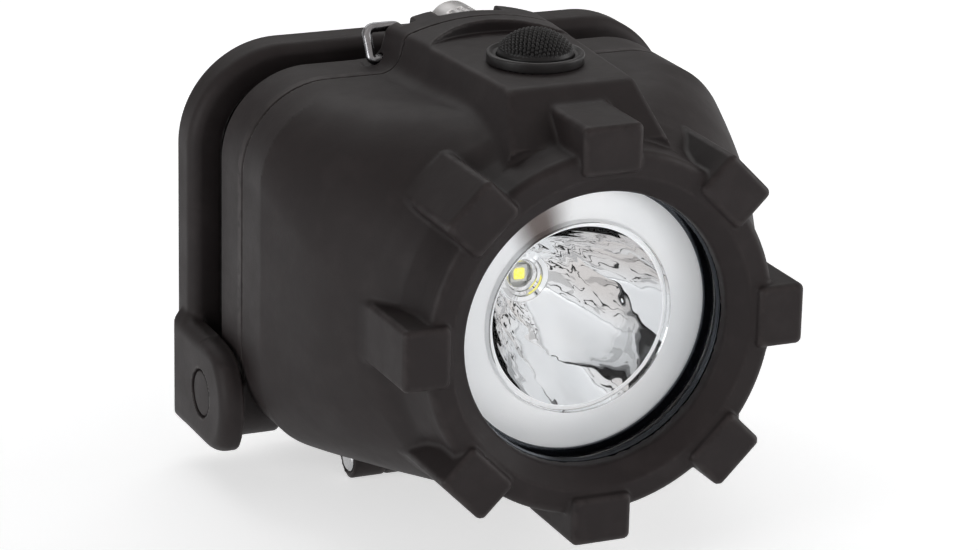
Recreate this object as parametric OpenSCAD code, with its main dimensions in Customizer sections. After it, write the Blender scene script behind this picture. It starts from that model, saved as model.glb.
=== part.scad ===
// Right-angle head light on a tilting bracket.
// Origin: centre of the bracket plate's back face. The beam leaves along -Y,
// +X is across the lamp, +Z is up. All sizes are in millimetres.

/* [Case] */
// Width of the case across its sides
case_w = 64.4; // [63.8:0.2:64.6]
// Height of the case
case_h = 47.4; // [47.2:0.2:47.6]
// Corner radius of the case outline
case_r = 11.5; // [11:0.5:12.5]
// Wall thickness of both case halves
wall = 2; // [1.8:0.1:2.2]

/* [Bezel] */
// Outside radius of the bezel ring
bezel_r = 23.2; // [22.8:0.1:23.6]
// Radius to the outside of the impact lugs
lug_r = 26.6; // [26:0.1:27]
// Width of one impact lug
lug_w = 7.8; // [7:0.1:8.4]
// Number of impact lugs around the bezel
lug_count = 8; // [6,8]

/* [Reflector] */
// Radius of the reflector bowl at its mouth
bowl_r = 11.5; // [11:0.1:12]
// Radius of the hole for the light source
led_hole_r = 1.7; // [1.6:0.05:1.9]

/* [Bracket] */
// Width of the bracket plate
plate_w = 68.5; // [68:0.5:70]
// Height of the bracket plate
plate_h = 50; // [49:0.5:51]
// Corner radius of the bracket plate
plate_r = 13.3; // [12:0.1:14]
// Width of each strap slot
slot_w = 5; // [4.6:0.1:5.4]
// Height of each strap slot, for 25 mm webbing
slot_h = 27; // [26:0.5:28]

/* [Switch] */
// Radius of the push button
button_r = 4.8; // [4.6:0.1:4.8]
// Travel of the push button
button_travel = 1; // [0.6:0.1:1]

/* [Cells] */
// Radius of one cell
cell_r = 5.25; // [5:0.05:5.25]
// Length of one cell
cell_l = 44.5; // [43.5:0.1:44.5]

/* [Hidden] */

$fn = 48;
eps = 0.01;
zc = 0.1;                        // height of the case centre line
y_part = -19.1;                  // parting plane of the case
y_tilt = -13.3; z_tilt = -18.4;  // tilt axis, along X
z_hinge = -27.7; knuckle_r = 2.65; // case hinge axis, along X, at y_part
y_face = -59.5;                  // front faces of the lugs
y_bezel = -58.3;                 // flat front ring of the bezel
y_lip = -56.3;                   // inner edge of the bezel's chamfer
lip_r = 17.5;
seat_r = 19.2;
y_flange = -50.7;                // front of the reflector flange
y_btn = -36.2;                   // switch axis, along Z
z_deck = 28.6;                   // flat deck that carries the switch
z_screw = 26.6;                  // latch screw axis, along Y
crown_r = 30;                  // crown radius of the hump behind the deck
z_crown = 30.25;
y_loop = -14.5; z_loop = 24.3; loop_l = 4.3; loop_a = 59.3; wire_r = 0.65;
y_cell = -17.3; cell_pitch = 11.1;
pin_r = 3.0; run = 0.05;
body_c = [0.20, 0.19, 0.19];
metal_c = [0.75, 0.75, 0.78];

// ---------- helpers ----------
module ycyl(r, y0, y1, x = 0, z = 0, fn = 48)
  translate([x, y0, z]) rotate([-90, 0, 0]) cylinder(h = y1 - y0, r = r, $fn = fn);
module ycone(ra, rb, y0, y1, x = 0, z = 0, fn = 48)
  translate([x, y0, z]) rotate([-90, 0, 0]) cylinder(h = y1 - y0, r1 = ra, r2 = rb, $fn = fn);
module xcyl(r, x0, x1, y, z, fn = 48)
  translate([x0, y, z]) rotate([0, 90, 0]) cylinder(h = x1 - x0, r = r, $fn = fn);
module xcone(ra, rb, x0, x1, y, z, fn = 48)
  translate([x0, y, z]) rotate([0, 90, 0]) cylinder(h = x1 - x0, r1 = ra, r2 = rb, $fn = fn);
module zcyl(r, z0, z1, x = 0, y = 0, fn = 48)
  translate([x, y, z0]) cylinder(h = z1 - z0, r = r, $fn = fn);
module box(x0, x1, y0, y1, z0, z1)
  translate([x0, y0, z0]) cube([x1 - x0, y1 - y0, z1 - z0]);
module rrect(w, h, r, fn = 48) {
  square([w - 2 * r, h], center = true);
  square([w, h - 2 * r], center = true);
  for (sx = [-1, 1], sz = [-1, 1])
    translate([sx * (w / 2 - r), sz * (h / 2 - r)]) circle(r = r, $fn = fn);
}
// rounded slab standing in the XZ plane from y0 to y1
module slab(w, h, r, y0, y1, z = zc, fn = 48)
  translate([0, y1, z]) rotate([90, 0, 0]) linear_extrude(y1 - y0) rrect(w, h, r, fn);
// trapezoid section of the hump, swept along Y
module hump_bar(y0, y1, zb, zt)
  translate([0, y1, 0]) rotate([90, 0, 0]) linear_extrude(y1 - y0)
    polygon([[-12.1, zb], [12.1, zb], [11.7, 23.8], [10.15, 28.75], [10.15, zt], [-10.15, zt], [-10.15, 28.75], [-11.7, 23.8]]);
module crown(y0, y1)
  intersection() {
    hump_bar(y0, y1, 21.9, 31);
    ycyl(crown_r, y0 - 1, y1 + 1, 0, z_crown - crown_r, 96);
  }
// coil of round wire rising along +Z: half rings, each tilted to climb half a pitch
module coil(r, wr, h, turns) {
  n = 2 * turns;
  b = asin(h / n / (2 * r));
  for (i = [0:n - 1])
    translate([0, 0, (i + 0.5) * h / n]) rotate([0, 0, i * 180]) rotate([0, -b, 0]) rotate([0, 0, 180])
      rotate_extrude(angle = 180, $fn = 32) translate([r, 0]) circle(r = wr, $fn = 16);
}

// ---------- bracket ----------
module bracket_plate() color(body_c)
  difference() {
    union() {
      hull() {
        slab(plate_w, plate_h, plate_r, -4.6, -1.1, -0.1, 32);
        slab(plate_w - 2.4, plate_h - 2.4, plate_r - 1.2, -5.7, 0, -0.1, 32);
      }
      for (s = [0, 1]) mirror([s, 0, 0]) {
        // ear: flat top and bottom, round nose, chamfered face
        intersection() {
          hull() {
            box(32.75, 34.2, y_tilt - 9, -1.6, -25.65, -11);
            box(32.75, 35.7, y_tilt - 9, -3, -24.15, -12.5);
          }
          union() {
            xcyl(8.6, 32.7, 34.2, y_tilt, z_tilt);
            xcone(8.6, 7.1, 34.2, 35.7, y_tilt, z_tilt);
            box(32.7, 35.8, y_tilt, -1.5, -26, -10);
          }
        }
        // web that ties the ear into the rim
        box(26.5, 34, -5.6, -1.6, -25.65, -11);
      }
    }
    slab(plate_w - 9, plate_h - 9, plate_r - 4.5, -7, -2.2, -0.1);
    for (s = [-1, 1]) {
      box(s * 24 - slot_w / 2, s * 24 + slot_w / 2, -8, 1, -0.1 - slot_h / 2, -0.1 + slot_h / 2);
    }
    for (s = [0, 1]) mirror([s, 0, 0]) {
      xcyl(pin_r + 0.02, 30, 37, y_tilt, z_tilt);
    }
  }
module tilt_pins() color(body_c)
  for (s = [0, 1]) mirror([s, 0, 0]) difference() {
    union() {
      xcyl(pin_r, 28.6, 35.3, y_tilt, z_tilt);
      xcone(pin_r, pin_r - 0.3, 35.3, 35.6, y_tilt, z_tilt);
      xcone(pin_r - 0.5, pin_r, 28.1, 28.6, y_tilt, z_tilt);
    }
    xcyl(0.8, 27, 30, y_tilt, z_tilt);
  }

// ---------- rear case ----------
module rear_cover() color(body_c)
  difference() {
    union() {
      hull() {
        slab(case_w, case_h, case_r, -19.0, -12.4, zc, 32);
        slab(case_w - 5.2, case_h - 5.2, case_r - 2.6, -19.0, -9.6, zc, 32);
      }
      crown(-19.0, -13.2);
      // tilt bosses, trimmed at the parting plane
      for (s = [0, 1]) mirror([s, 0, 0]) intersection() {
        xcyl(6, 26.4, 32.05, y_tilt, z_tilt);
        box(25, 33, -19.0, -7, -26, -10);
      }
      // outer hinge knuckles
      for (s = [0, 1]) mirror([s, 0, 0]) {
        xcyl(knuckle_r, 12.9, 17.5, y_part, z_hinge);
        box(12.9, 17.5, -19.0, -15.6, -27.0, -23.0);
      }
    }
    difference() {
      slab(case_w - 2 * wall, case_h - 2 * wall, case_r - wall, -20, -11.4);
      for (s = [0, 1]) mirror([s, 0, 0]) xcyl(6, 26.4, 33, y_tilt, z_tilt);
    }
    // gasket groove in the rim
    difference() {
      slab(case_w - 1.3, case_h - 1.3, case_r - 0.65, -20, -17.9);
      slab(case_w - 2.8, case_h - 2.8, case_r - 1.4, -20.1, -17.8);
    }
    // tilt pin bores and the washers' spot faces
    for (s = [0, 1]) mirror([s, 0, 0]) {
      xcyl(pin_r + run, 27.7, 34, y_tilt, z_tilt);
      xcyl(6.02, 32.05, 34, y_tilt, z_tilt);
    }
    // case hinge bore
    xcyl(1.78, -20, 20, y_part, z_hinge, 32);
    // notch for the latch screw's head, its shank hole and seal seat
    box(-4.4, 4.4, -16.3, -8, 23.0, 32);
    ycyl(1.08, -20, -16, 0, z_screw, 32);
    ycyl(2.3, -17.2, -16, 0, z_screw, 32);
    // pivot hole of the lanyard loop and the slot for its inner leg
    xcyl(wire_r + run, -14, -9.0, y_loop, z_loop, 32);
    box(-9.1, -7.3, -15.5, -8, 23.2, 32);
  }
module friction_washers() color(metal_c)
  for (s = [0, 1]) mirror([s, 0, 0]) difference() {
    xcyl(5.6, 32.12, 32.66, y_tilt, z_tilt);
    xcyl(3.3, 31, 34, y_tilt, z_tilt);
  }
module case_gasket() color([0.1, 0.1, 0.1])
  difference() {
    slab(case_w - 1.36, case_h - 1.36, case_r - 0.68, -19.15, -17.95);
    slab(case_w - 2.74, case_h - 2.74, case_r - 1.37, -20, -17);
  }
module hinge_pin() color(metal_c) {
  xcyl(1.75, -17.4, 17.4, y_part, z_hinge, 32);
  for (s = [0, 1]) mirror([s, 0, 0]) xcone(1.75, 1.5, 17.4, 17.6, y_part, z_hinge, 32);
}
module screw_seal() color([0.1, 0.1, 0.1])
  translate([0, -16.66, z_screw]) rotate([90, 0, 0])
    rotate_extrude($fn = 32) translate([1.56, 0]) circle(r = 0.48, $fn = 16);
module cell_dir(k) mirror([k == 1 ? 1 : 0, 0, 0]) children();
module battery_tray() color([0.3, 0.3, 0.32])
  difference() {
    box(-25.6, 25.6, -22.3, -11.5, zc - 17.4, zc + 17.4);
    for (k = [-1:1]) {
      xcyl(5.3, -24, 24, y_cell, zc + k * cell_pitch);
      box(-24, 24, -23, y_cell, zc + k * cell_pitch - 5.3, zc + k * cell_pitch + 5.3);
    }
    // seats for the contact plates
    box(23.4, 24, -23, -13.0, zc - cell_pitch - 4.15, zc + cell_pitch + 4.15);
    box(-24, -23.4, -23, -13.0, zc - cell_pitch - 4.15, zc + cell_pitch + 4.15);
    // notches for the contact tabs
    box(23, 26, -22.75, -21.9, zc + cell_pitch - 2.2, zc + cell_pitch + 2.2);
    box(-26, -23, -22.75, -21.9, zc - cell_pitch - 2.2, zc - cell_pitch + 2.2);
  }
module battery_cells() color([0.75, 0.6, 0.25])
  for (k = [-1:1]) mirror([k == 0 ? 1 : 0, 0, 0]) {
    xcyl(cell_r, 23.45 - cell_l, 22.6, y_cell, zc + k * cell_pitch);
    xcyl(1.9, 22.6, 23.45, y_cell, zc + k * cell_pitch, 32);
  }
module contact_springs() color(metal_c)
  for (k = [-1:1]) mirror([k == 0 ? 1 : 0, 0, 0])
    translate([-23.22, y_cell, zc + k * cell_pitch]) rotate([0, 90, 0])
      coil(2.9, 0.28, 1.85, 2);
module contact_plates() color([0.8, 0.72, 0.5]) {
  // bridges between neighbouring cells
  box(23.57, 23.93, -21.5, -13.2, zc - cell_pitch - 4, zc + 4);
  box(-23.93, -23.57, -21.5, -13.2, zc - 4, zc + cell_pitch + 4);
  // end plates with a tab folded over the tray wall
  box(23.57, 23.93, -22.2, -13.2, zc + cell_pitch - 4, zc + cell_pitch + 4);
  box(23.57, 25.5, -22.3, -22.0, zc + cell_pitch - 2, zc + cell_pitch + 2);
  box(-23.93, -23.57, -22.2, -13.2, zc - cell_pitch - 4, zc - cell_pitch + 4);
  box(-25.5, -23.57, -22.3, -22.0, zc - cell_pitch - 2, zc - cell_pitch + 2);
}

// ---------- latch screw and lanyard loop ----------
module latch_screw() color(metal_c)
  difference() {
    union() {
      ycyl(3.4, -16.1, -13.6, 0, z_screw);
      ycone(3.4, 3.0, -13.6, -13.2, 0, z_screw);
      ycyl(1.0, -22.9, -16, 0, z_screw, 32);
      ycone(0.7, 1.0, -23.2, -22.9, 0, z_screw, 32);
    }
    box(-4, 4, -14.4, -13, z_screw - 0.5, z_screw + 0.5);
    for (a = [0:24:359])
      ycyl(0.45, -17, -13, 3.55 * cos(a), z_screw + 3.55 * sin(a), 16);
  }
module screw_clip() color(metal_c)
  difference() {
    ycyl(2.2, -19.5, -19.15, 0, z_screw, 32);
    ycyl(1.02, -20, -19, 0, z_screw, 32);
    box(-0.6, 0.6, -20, -19, z_screw - 3, z_screw);
  }
// wire loop open at its pivot: both ends turn towards each other in one hole
module lanyard_loop() color(metal_c)
  translate([0, y_loop, z_loop]) rotate([loop_a - 90, 0, 0]) {
    xcyl(wire_r, -12.95, -10.65, 0, 0, 24);
    xcyl(wire_r, -10.05, -8.2, 0, 0, 24);
    translate([-12.95, 0, 0]) sphere(r = wire_r, $fn = 24);
    translate([-8.2, 0, 0]) sphere(r = wire_r, $fn = 24);
    translate([-12.95, 0, 0]) cylinder(h = loop_l - 1, r = wire_r, $fn = 24);
    translate([-8.2, 0, 0]) cylinder(h = loop_l - 1, r = wire_r, $fn = 24);
    translate([-12.95, 0, loop_l - 1]) sphere(r = wire_r, $fn = 24);
    translate([-8.2, 0, loop_l - 1]) sphere(r = wire_r, $fn = 24);
    translate([-12.95, 0, loop_l - 1]) rotate([0, 45, 0]) cylinder(h = sqrt(2), r = wire_r, $fn = 24);
    translate([-8.2, 0, loop_l - 1]) rotate([0, -45, 0]) cylinder(h = sqrt(2), r = wire_r, $fn = 24);
    translate([-11.95, 0, loop_l]) sphere(r = wire_r, $fn = 24);
    translate([-9.2, 0, loop_l]) sphere(r = wire_r, $fn = 24);
    xcyl(wire_r, -11.95, -9.2, 0, loop_l, 24);
  }

// ---------- front head ----------
module housing_outer() {
  slab(case_w, case_h, case_r, -22.0, -19.2);
  hull() {
    slab(case_w, case_h, case_r, -22.0, -21.9, zc, 32);
    slab(case_w - 1.8, case_h + 0.1, case_r + 2, -31, -30.9, zc, 32);
  }
  hull() {
    slab(case_w - 1.8, case_h + 0.1, case_r + 2, -31, -30.9, zc, 32);
    slab(case_w - 5, case_h + 0.7, case_r + 8, -39, -38.9, zc + 0.2, 32);
  }
  hull() {
    slab(case_w - 5, case_h + 0.7, case_r + 8, -39, -38.9, zc + 0.2, 32);
    slab(53.2, 48.2, 24.0, -47.1, -47, 0, 48);
  }
  hull() {
    slab(53.2, 48.2, 24.0, -47.1, -47, 0, 48);
    ycyl(bezel_r + 0.3, -51, -50.9);
  }
  // bezel ring and its chamfer
  ycyl(bezel_r, -57.6, -50.9, 0, 0, 96);
  ycone(bezel_r - 0.7, bezel_r, y_bezel, -57.6, 0, 0, 96);
  // impact lugs
  for (k = [0:lug_count - 1]) rotate([0, k * 360 / lug_count, 0]) {
    box(19.9, lug_r, -58.9, -47, -lug_w / 2, lug_w / 2);
    box(21, lug_r - 0.6, y_face, -58.8, -lug_w / 2 + 0.6, lug_w / 2 - 0.6);
  }
  // switch hump
  hull() {
    translate([0, 0, 21.4]) linear_extrude(0.2)
      polygon([[-10.8, -52.4], [10.8, -52.4], [12.2, -19.2], [-12.2, -19.2]]);
    translate([0, 0, z_deck - 0.2]) linear_extrude(0.2)
      polygon([[-8.4, -47], [8.4, -47], [10.2, -19.2], [-10.2, -19.2]]);
  }
  difference() {
    crown(-27, -19.2);
    zcyl(13.35, z_deck, 32, 0, -34.85, 64);
  }
  // inner hinge knuckle
  xcyl(knuckle_r, -12.7, 12.7, y_part, z_hinge);
  box(-12.7, 12.7, -22.6, -19.25, -27.0, -23.0);
}
module front_housing() color(body_c)
  difference() {
    housing_outer();
    difference() {
      union() {
        slab(case_w - 2 * wall, case_h - 2 * wall, case_r - wall, -22, -19);
        hull() {
          slab(case_w - 2 * wall, case_h - 2 * wall, case_r - wall, -22, -21.9, zc, 32);
          slab(55, 44, 16, -38.5, -38.4, zc, 32);
        }
        hull() {
          slab(55, 44, 16, -38.5, -38.4, zc, 32);
          ycyl(20.4, -45.6, -45.5, 0, 0, 48);
        }
      }
      // posts for the heat sink stack and for the inner cover
      for (sx = [-1, 1], sz = [-1, 1]) {
        ycyl(2.6, -45, -31.3, sx * 21, sz * 13, 32);
        ycyl(3.2, -44, -24.71, sx * 13, zc + sz * 18.6, 32);
      }
    }
    // stepped bore for the lens stack
    ycyl(seat_r, -54.6, -44, 0, 0, 96);
    ycyl(lip_r, -60, -54, 0, 0, 96);
    ycone(20.0, lip_r, y_bezel, y_lip, 0, 0, 96);
    ycyl(20.0, -60, y_bezel, 0, 0, 96);
    // screw pilots
    for (sx = [-1, 1], sz = [-1, 1]) {
      ycyl(1.02, -37, -31, sx * 21, sz * 13, 24);
      ycyl(1.02, -30.5, -24, sx * 13, zc + sz * 18.6, 24);
    }
    // switch bore, pocket and board seat
    zcyl(5.66, 26, 32, 0, y_btn, 64);
    zcyl(8.2, 20, 26.6, 0, y_btn, 64);
    zcyl(9.6, 19, 22.0, 0, y_btn, 64);
    for (s = [-1, 1]) zcyl(0.72, 21, 25.5, s * 8.85, y_btn, 24);
    // insert pocket, screw run-out and clip relief
    ycyl(1.77, -23.0, -19, 0, z_screw, 32);
    ycyl(1.35, -24.6, -22, 0, z_screw, 32);
    ycyl(2.6, -20.0, -19, 0, z_screw, 32);
    // case hinge bore
    xcyl(1.8, -20, 20, y_part, z_hinge, 32);
  }
module lens_seal() color([0.08, 0.08, 0.08])
  translate([0, -54.5, 0]) rotate([-90, 0, 0]) rotate_extrude($fn = 96)
    polygon([[17.2, 0], [19.1, 0], [19.1, 3.7], [17.0, 3.7], [17.0, 3.15], [18.25, 3.15], [18.25, 0.85], [17.2, 0.85]]);
module lens() color([0.8, 0.9, 0.95, 0.3])
  difference() {
    union() {
      ycyl(18.2, -53.6, -51.4, 0, 0, 96);
    }
  }
bowl_depth = 17.6;
bowl_f = bowl_r * bowl_r / (4 * bowl_depth);
function bowl_pt(r, off) = [r, bowl_depth - r * r / (4 * bowl_f) + off];
module reflector() color([0.9, 0.9, 0.92])
  translate([0, y_flange, 0]) rotate([-90, 0, 0]) rotate_extrude($fn = 96)
    polygon(concat(
      [[bowl_r, 0], [19.0, 0], [19.0, 1.2], [bowl_r + 1.4, 1.2]],
      [for (i = [1:14]) let (r = bowl_r + 0.9 - i * (bowl_r + 0.9 - 3.4) / 14) [r, min(17.9, bowl_depth + 1.2 - (r - 0.7) * (r - 0.7) / (4 * bowl_f))]],
      [[3.4, 17.9], [led_hole_r, 17.9]],
      [for (i = [0:16]) let (r = led_hole_r + i * (bowl_r - led_hole_r) / 16) [r, bowl_depth - r * r / (4 * bowl_f)]]
    ));
module reflector_retainer() color([0.25, 0.25, 0.27])
  difference() {
    ycyl(19.1, -49.4, -47.0, 0, 0, 96);
    ycyl(16.2, -50, -46, 0, 0, 96);
    for (a = [0, 90]) rotate([0, a, 0]) box(-20, 20, -48.2, -46, -1, 1);
  }
module led_emitter() color([0.95, 0.93, 0.75]) {
  box(-1.15, 1.15, -33.0, -32.6, -1.15, 1.15);
  ycyl(0.95, -33.3, -33.0, 0, 0, 32);
}
module led_board() color([0.9, 0.9, 0.88])
  difference() {
    ycyl(9, -32.6, -31.3, 0, 0, 64);
    for (s = [-1, 1]) ycyl(1.0, -33, -31, s * 6.5, 0, 24);
    for (s = [-1, 1]) ycyl(0.62, -33, -31, s * 2.5, -6, 24);
  }
module led_board_screws() color(metal_c)
  for (s = [-1, 1]) {
    ycyl(0.8, -32.6, -29.9, s * 6.5, 0, 24);
    difference() {
      ycyl(1.5, -33.4, -32.6, s * 6.5, 0, 24);
      box(s * 6.5 - 1.6, s * 6.5 + 1.6, -33.5, -33.1, -0.2, 0.2);
    }
  }
module heat_sink() color([0.7, 0.7, 0.72])
  difference() {
    slab(50, 30, 4, -31.3, -29.3, 0);
    for (sx = [-1, 1], sz = [-1, 1]) ycyl(1.1, -32, -29, sx * 21, sz * 13, 24);
    for (s = [-1, 1]) ycyl(0.82, -32, -29, s * 6.5, 0, 24);
    for (s = [-1, 1]) ycyl(0.9, -32, -29, s * 2.5, -6, 24);
    for (i = [-3:3]) box(i * 5 - 0.6, i * 5 + 0.6, -30.3, -29, -20, 20);
  }
module driver_board() color([0.1, 0.35, 0.2])
  difference() {
    slab(51, 30, 2.5, -27.5, -26.3, 0);
    for (sx = [-1, 1], sz = [-1, 1]) ycyl(1.1, -28, -26, sx * 21, sz * 13, 24);
  }
module driver_components() color([0.15, 0.15, 0.16]) {
  box(-7, -1, -29.0, -27.5, -3, 3);
  ycyl(3.2, -29.0, -27.5, 6, 3, 32);
  box(4.5, 7.5, -28.6, -27.5, -8, -5);
  box(9.5, 12, -28.5, -27.5, -6, -1);
  box(-15, -12, -28.7, -27.5, -6, 2);
  box(-12, -10, -28.3, -27.5, 6, 10);
  box(-6, -2, -28.4, -27.5, 8, 11);
}
module driver_screws() color(metal_c)
  for (sx = [-1, 1], sz = [-1, 1]) {
    ycyl(0.98, -36.5, -26.3, sx * 21, sz * 13, 24);
    difference() {
      ycyl(1.7, -26.3, -25.3, sx * 21, sz * 13, 24);
      box(sx * 21 - 1.2, sx * 21 + 1.2, -25.7, -25, sz * 13 - 0.2, sz * 13 + 0.2);
    }
  }
module board_spacers() color(metal_c)
  for (sx = [-1, 1], sz = [-1, 1]) difference() {
    ycyl(2.1, -29.29, -27.51, sx * 21, sz * 13, 24);
    ycyl(1.1, -30, -27, sx * 21, sz * 13, 24);
  }
module led_leads() color([0.7, 0.1, 0.1])
  for (s = [-1, 1]) {
    ycyl(0.55, -32.5, -27.5, s * 2.5, -6, 24);
  }
module switch_leads() color([0.1, 0.1, 0.1])
  for (s = [-1, 1]) translate([s * 2, 0, 0]) {
    zcyl(0.45, 18.4, 21.0, 0, -29.0, 16);
    translate([0, -29.0, 18.4]) sphere(r = 0.45, $fn = 16);
    ycyl(0.45, -29.0, -26.9, 0, 18.4, 16);
    translate([0, -26.9, 18.4]) sphere(r = 0.45, $fn = 16);
    zcyl(0.45, 15.01, 18.4, 0, -26.9, 16);
  }
module switch_board() color([0.1, 0.35, 0.2])
  difference() {
    zcyl(9.4, 21.0, 22.0, 0, y_btn, 64);
    for (s = [-1, 1]) zcyl(0.75, 20, 23, s * 8.85, y_btn, 24);
    // flat that clears the reflector side
    box(-10, 10, y_btn - 10, y_btn - 8.9, 20, 23);
  }
module tactile_switch() color([0.15, 0.15, 0.15]) {
  box(-3, 3, y_btn - 3, y_btn + 3, 22.0, 23.6);
  zcyl(1.6, 23.6, 24.3, 0, y_btn, 32);
}
module switch_screws() color(metal_c)
  for (s = [-1, 1]) {
    zcyl(0.7, 21.0, 25.2, s * 8.85, y_btn, 24);
    zcyl(1.25, 20.3, 21.0, s * 8.85, y_btn, 24);
  }
module button_spring() color(metal_c)
  translate([0, y_btn, 22.3]) coil(5.1, 0.25, 2.8, 2);
module switch_ring() color([0.16, 0.15, 0.15])
  difference() {
    union() {
      zcyl(5.62, 26.6, z_deck + 0.1, 0, y_btn, 64);
      zcyl(6.1, z_deck + 0.02, z_deck + 1.0, 0, y_btn, 64);
      translate([0, y_btn, z_deck + 1.0]) cylinder(h = 0.35, r1 = 6.1, r2 = 5.8, $fn = 64);
    }
    zcyl(button_r + run, 26, 31, 0, y_btn, 64);
    translate([0, y_btn, z_deck + 0.95]) cylinder(h = 0.5, r1 = button_r + run, r2 = 5.6, $fn = 64);
  }
module push_button() color([0.08, 0.08, 0.08])
  translate([0, y_btn, 0]) difference() {
    union() {
      zcyl(5.6, 25.4, 26.5);
      zcyl(button_r, 26.4, 29.9, 0, 0, 64);
      // domed top
      intersection() {
        translate([0, 0, 32.6 - 5.6]) sphere(r = 5.6, $fn = 64);
        zcyl(button_r, 29.8, 33, 0, 0, 64);
      }
    }
  }
module thread_insert() color([0.8, 0.65, 0.3])
  difference() {
    ycyl(1.75, -22.95, -20.02, 0, z_screw, 32);
    ycyl(1.3, -24, -19, 0, z_screw, 32);
  }
module inner_cover() color([0.22, 0.22, 0.23])
  difference() {
    slab(59.0, 42.4, 10.5, -24.7, -23.5);
    for (sx = [-1, 1], sz = [-1, 1]) {
      ycyl(1.1, -25, -23, sx * 13, zc + sz * 18.6, 24);
      ycyl(2.2, -24.9, -24.2, sx * 21, sz * 13, 24);
    }
    box(23.6, 25.6, -25, -23, zc + cell_pitch - 2.4, zc + cell_pitch + 2.4);
    box(-25.6, -23.6, -25, -23, zc - cell_pitch - 2.4, zc - cell_pitch + 2.4);
    for (i = [-2:2]) box(-14, 14, -23.9, -23, i * 5 - 0.5, i * 5 + 0.5);
  }
module inner_cover_screws() color(metal_c)
  for (sx = [-1, 1], sz = [-1, 1]) difference() {
    union() {
      ycyl(0.98, -30, -23.49, sx * 13, zc + sz * 18.6, 24);
      ycyl(1.8, -23.49, -22.6, sx * 13, zc + sz * 18.6, 24);
    }
    box(sx * 13 - 1.3, sx * 13 + 1.3, -23.1, -22, zc + sz * 18.6 - 0.2, zc + sz * 18.6 + 0.2);
  }
module leaf_contacts() color([0.8, 0.72, 0.5])
  for (s = [-1, 1]) {
    box(s * 24.4 - 0.2, s * 24.4 + 0.2, -26.3, -22.5, zc + s * cell_pitch - 1.6, zc + s * cell_pitch + 1.6);
    box(s * 24.5 - 0.7, s * 24.5 + 0.7, -22.75, -22.45, zc + s * cell_pitch - 1.6, zc + s * cell_pitch + 1.6);
  }

bracket_plate();
tilt_pins();
rear_cover();
friction_washers();
case_gasket();
hinge_pin();
screw_seal();
battery_tray();
battery_cells();
contact_springs();
contact_plates();
latch_screw();
screw_clip();
lanyard_loop();
front_housing();
lens_seal();
lens();
reflector();
reflector_retainer();
led_emitter();
led_board();
led_board_screws();
heat_sink();
driver_board();
driver_components();
driver_screws();
board_spacers();
led_leads();
switch_leads();
switch_board();
tactile_switch();
switch_screws();
button_spring();
switch_ring();
push_button();
thread_insert();
inner_cover();
inner_cover_screws();
leaf_contacts();
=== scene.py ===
import math

import bpy
import numpy as np
from mathutils import Matrix, Vector


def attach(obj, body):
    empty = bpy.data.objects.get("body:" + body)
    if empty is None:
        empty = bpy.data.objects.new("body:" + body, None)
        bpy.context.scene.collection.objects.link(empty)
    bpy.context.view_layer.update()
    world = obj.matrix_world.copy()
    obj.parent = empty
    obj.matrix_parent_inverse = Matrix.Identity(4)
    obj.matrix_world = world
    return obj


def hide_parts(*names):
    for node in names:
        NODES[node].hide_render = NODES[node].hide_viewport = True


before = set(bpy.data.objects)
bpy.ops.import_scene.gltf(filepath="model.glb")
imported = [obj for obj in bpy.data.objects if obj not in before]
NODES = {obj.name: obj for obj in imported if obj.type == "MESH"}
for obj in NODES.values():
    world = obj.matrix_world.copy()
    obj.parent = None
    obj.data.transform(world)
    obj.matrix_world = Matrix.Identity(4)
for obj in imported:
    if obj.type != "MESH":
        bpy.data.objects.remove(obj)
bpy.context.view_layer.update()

MM = 0.001

# ------------------------------------------------------------------ distance fields (mm)


def smax(a, b, k):
    h = np.maximum(k - np.abs(a - b), 0.0) / k
    return np.maximum(a, b) + h * h * k * 0.25


def smin(a, b, k):
    return -smax(-a, -b, k)


def rint(a, b, r):
    """Intersection with a circular edge of radius r."""
    u, v = np.maximum(a + r, 0.0), np.maximum(b + r, 0.0)
    return np.minimum(np.maximum(a, b), -r) + np.sqrt(u * u + v * v)


def runi(a, b, r):
    """Union with a circular fillet of radius r."""
    return -rint(-a, -b, r)


def rrect(x, z, a, b, r):
    qx, qz = np.abs(x) - (a - r), np.abs(z) - (b - r)
    return (
        np.sqrt(np.maximum(qx, 0) ** 2 + np.maximum(qz, 0) ** 2)
        + np.minimum(np.maximum(qx, qz), 0)
        - r
    )


def boxd(x, y, z, x0, x1, y0, y1, z0, z1, r=0.0):
    qx = np.abs(x - (x0 + x1) / 2) - ((x1 - x0) / 2 - r)
    qy = np.abs(y - (y0 + y1) / 2) - ((y1 - y0) / 2 - r)
    qz = np.abs(z - (z0 + z1) / 2) - ((z1 - z0) / 2 - r)
    out = np.sqrt(
        np.maximum(qx, 0) ** 2 + np.maximum(qy, 0) ** 2 + np.maximum(qz, 0) ** 2
    )
    return out + np.minimum(np.maximum(qx, np.maximum(qy, qz)), 0) - r


def pchip(xs, ys, t):
    """Monotone cubic through the points."""
    xs, ys = np.asarray(xs, float), np.asarray(ys, float)
    h = np.diff(xs)
    d = np.diff(ys) / h
    m = np.zeros_like(ys)
    m[0], m[-1] = d[0], d[-1]
    for i in range(1, len(xs) - 1):
        if d[i - 1] * d[i] > 0:
            w1, w2 = 2 * h[i] + h[i - 1], h[i] + 2 * h[i - 1]
            m[i] = (w1 + w2) / (w1 / d[i - 1] + w2 / d[i])
    i = np.clip(np.searchsorted(xs, t) - 1, 0, len(xs) - 2)
    s = (t - xs[i]) / h[i]
    return (
        (2 * s**3 - 3 * s**2 + 1) * ys[i]
        + (s**3 - 2 * s**2 + s) * h[i] * m[i]
        + (-2 * s**3 + 3 * s**2) * ys[i + 1]
        + (s**3 - s**2) * h[i] * m[i + 1]
    )


# ------------------------------------------------------------------ surface nets


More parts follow.
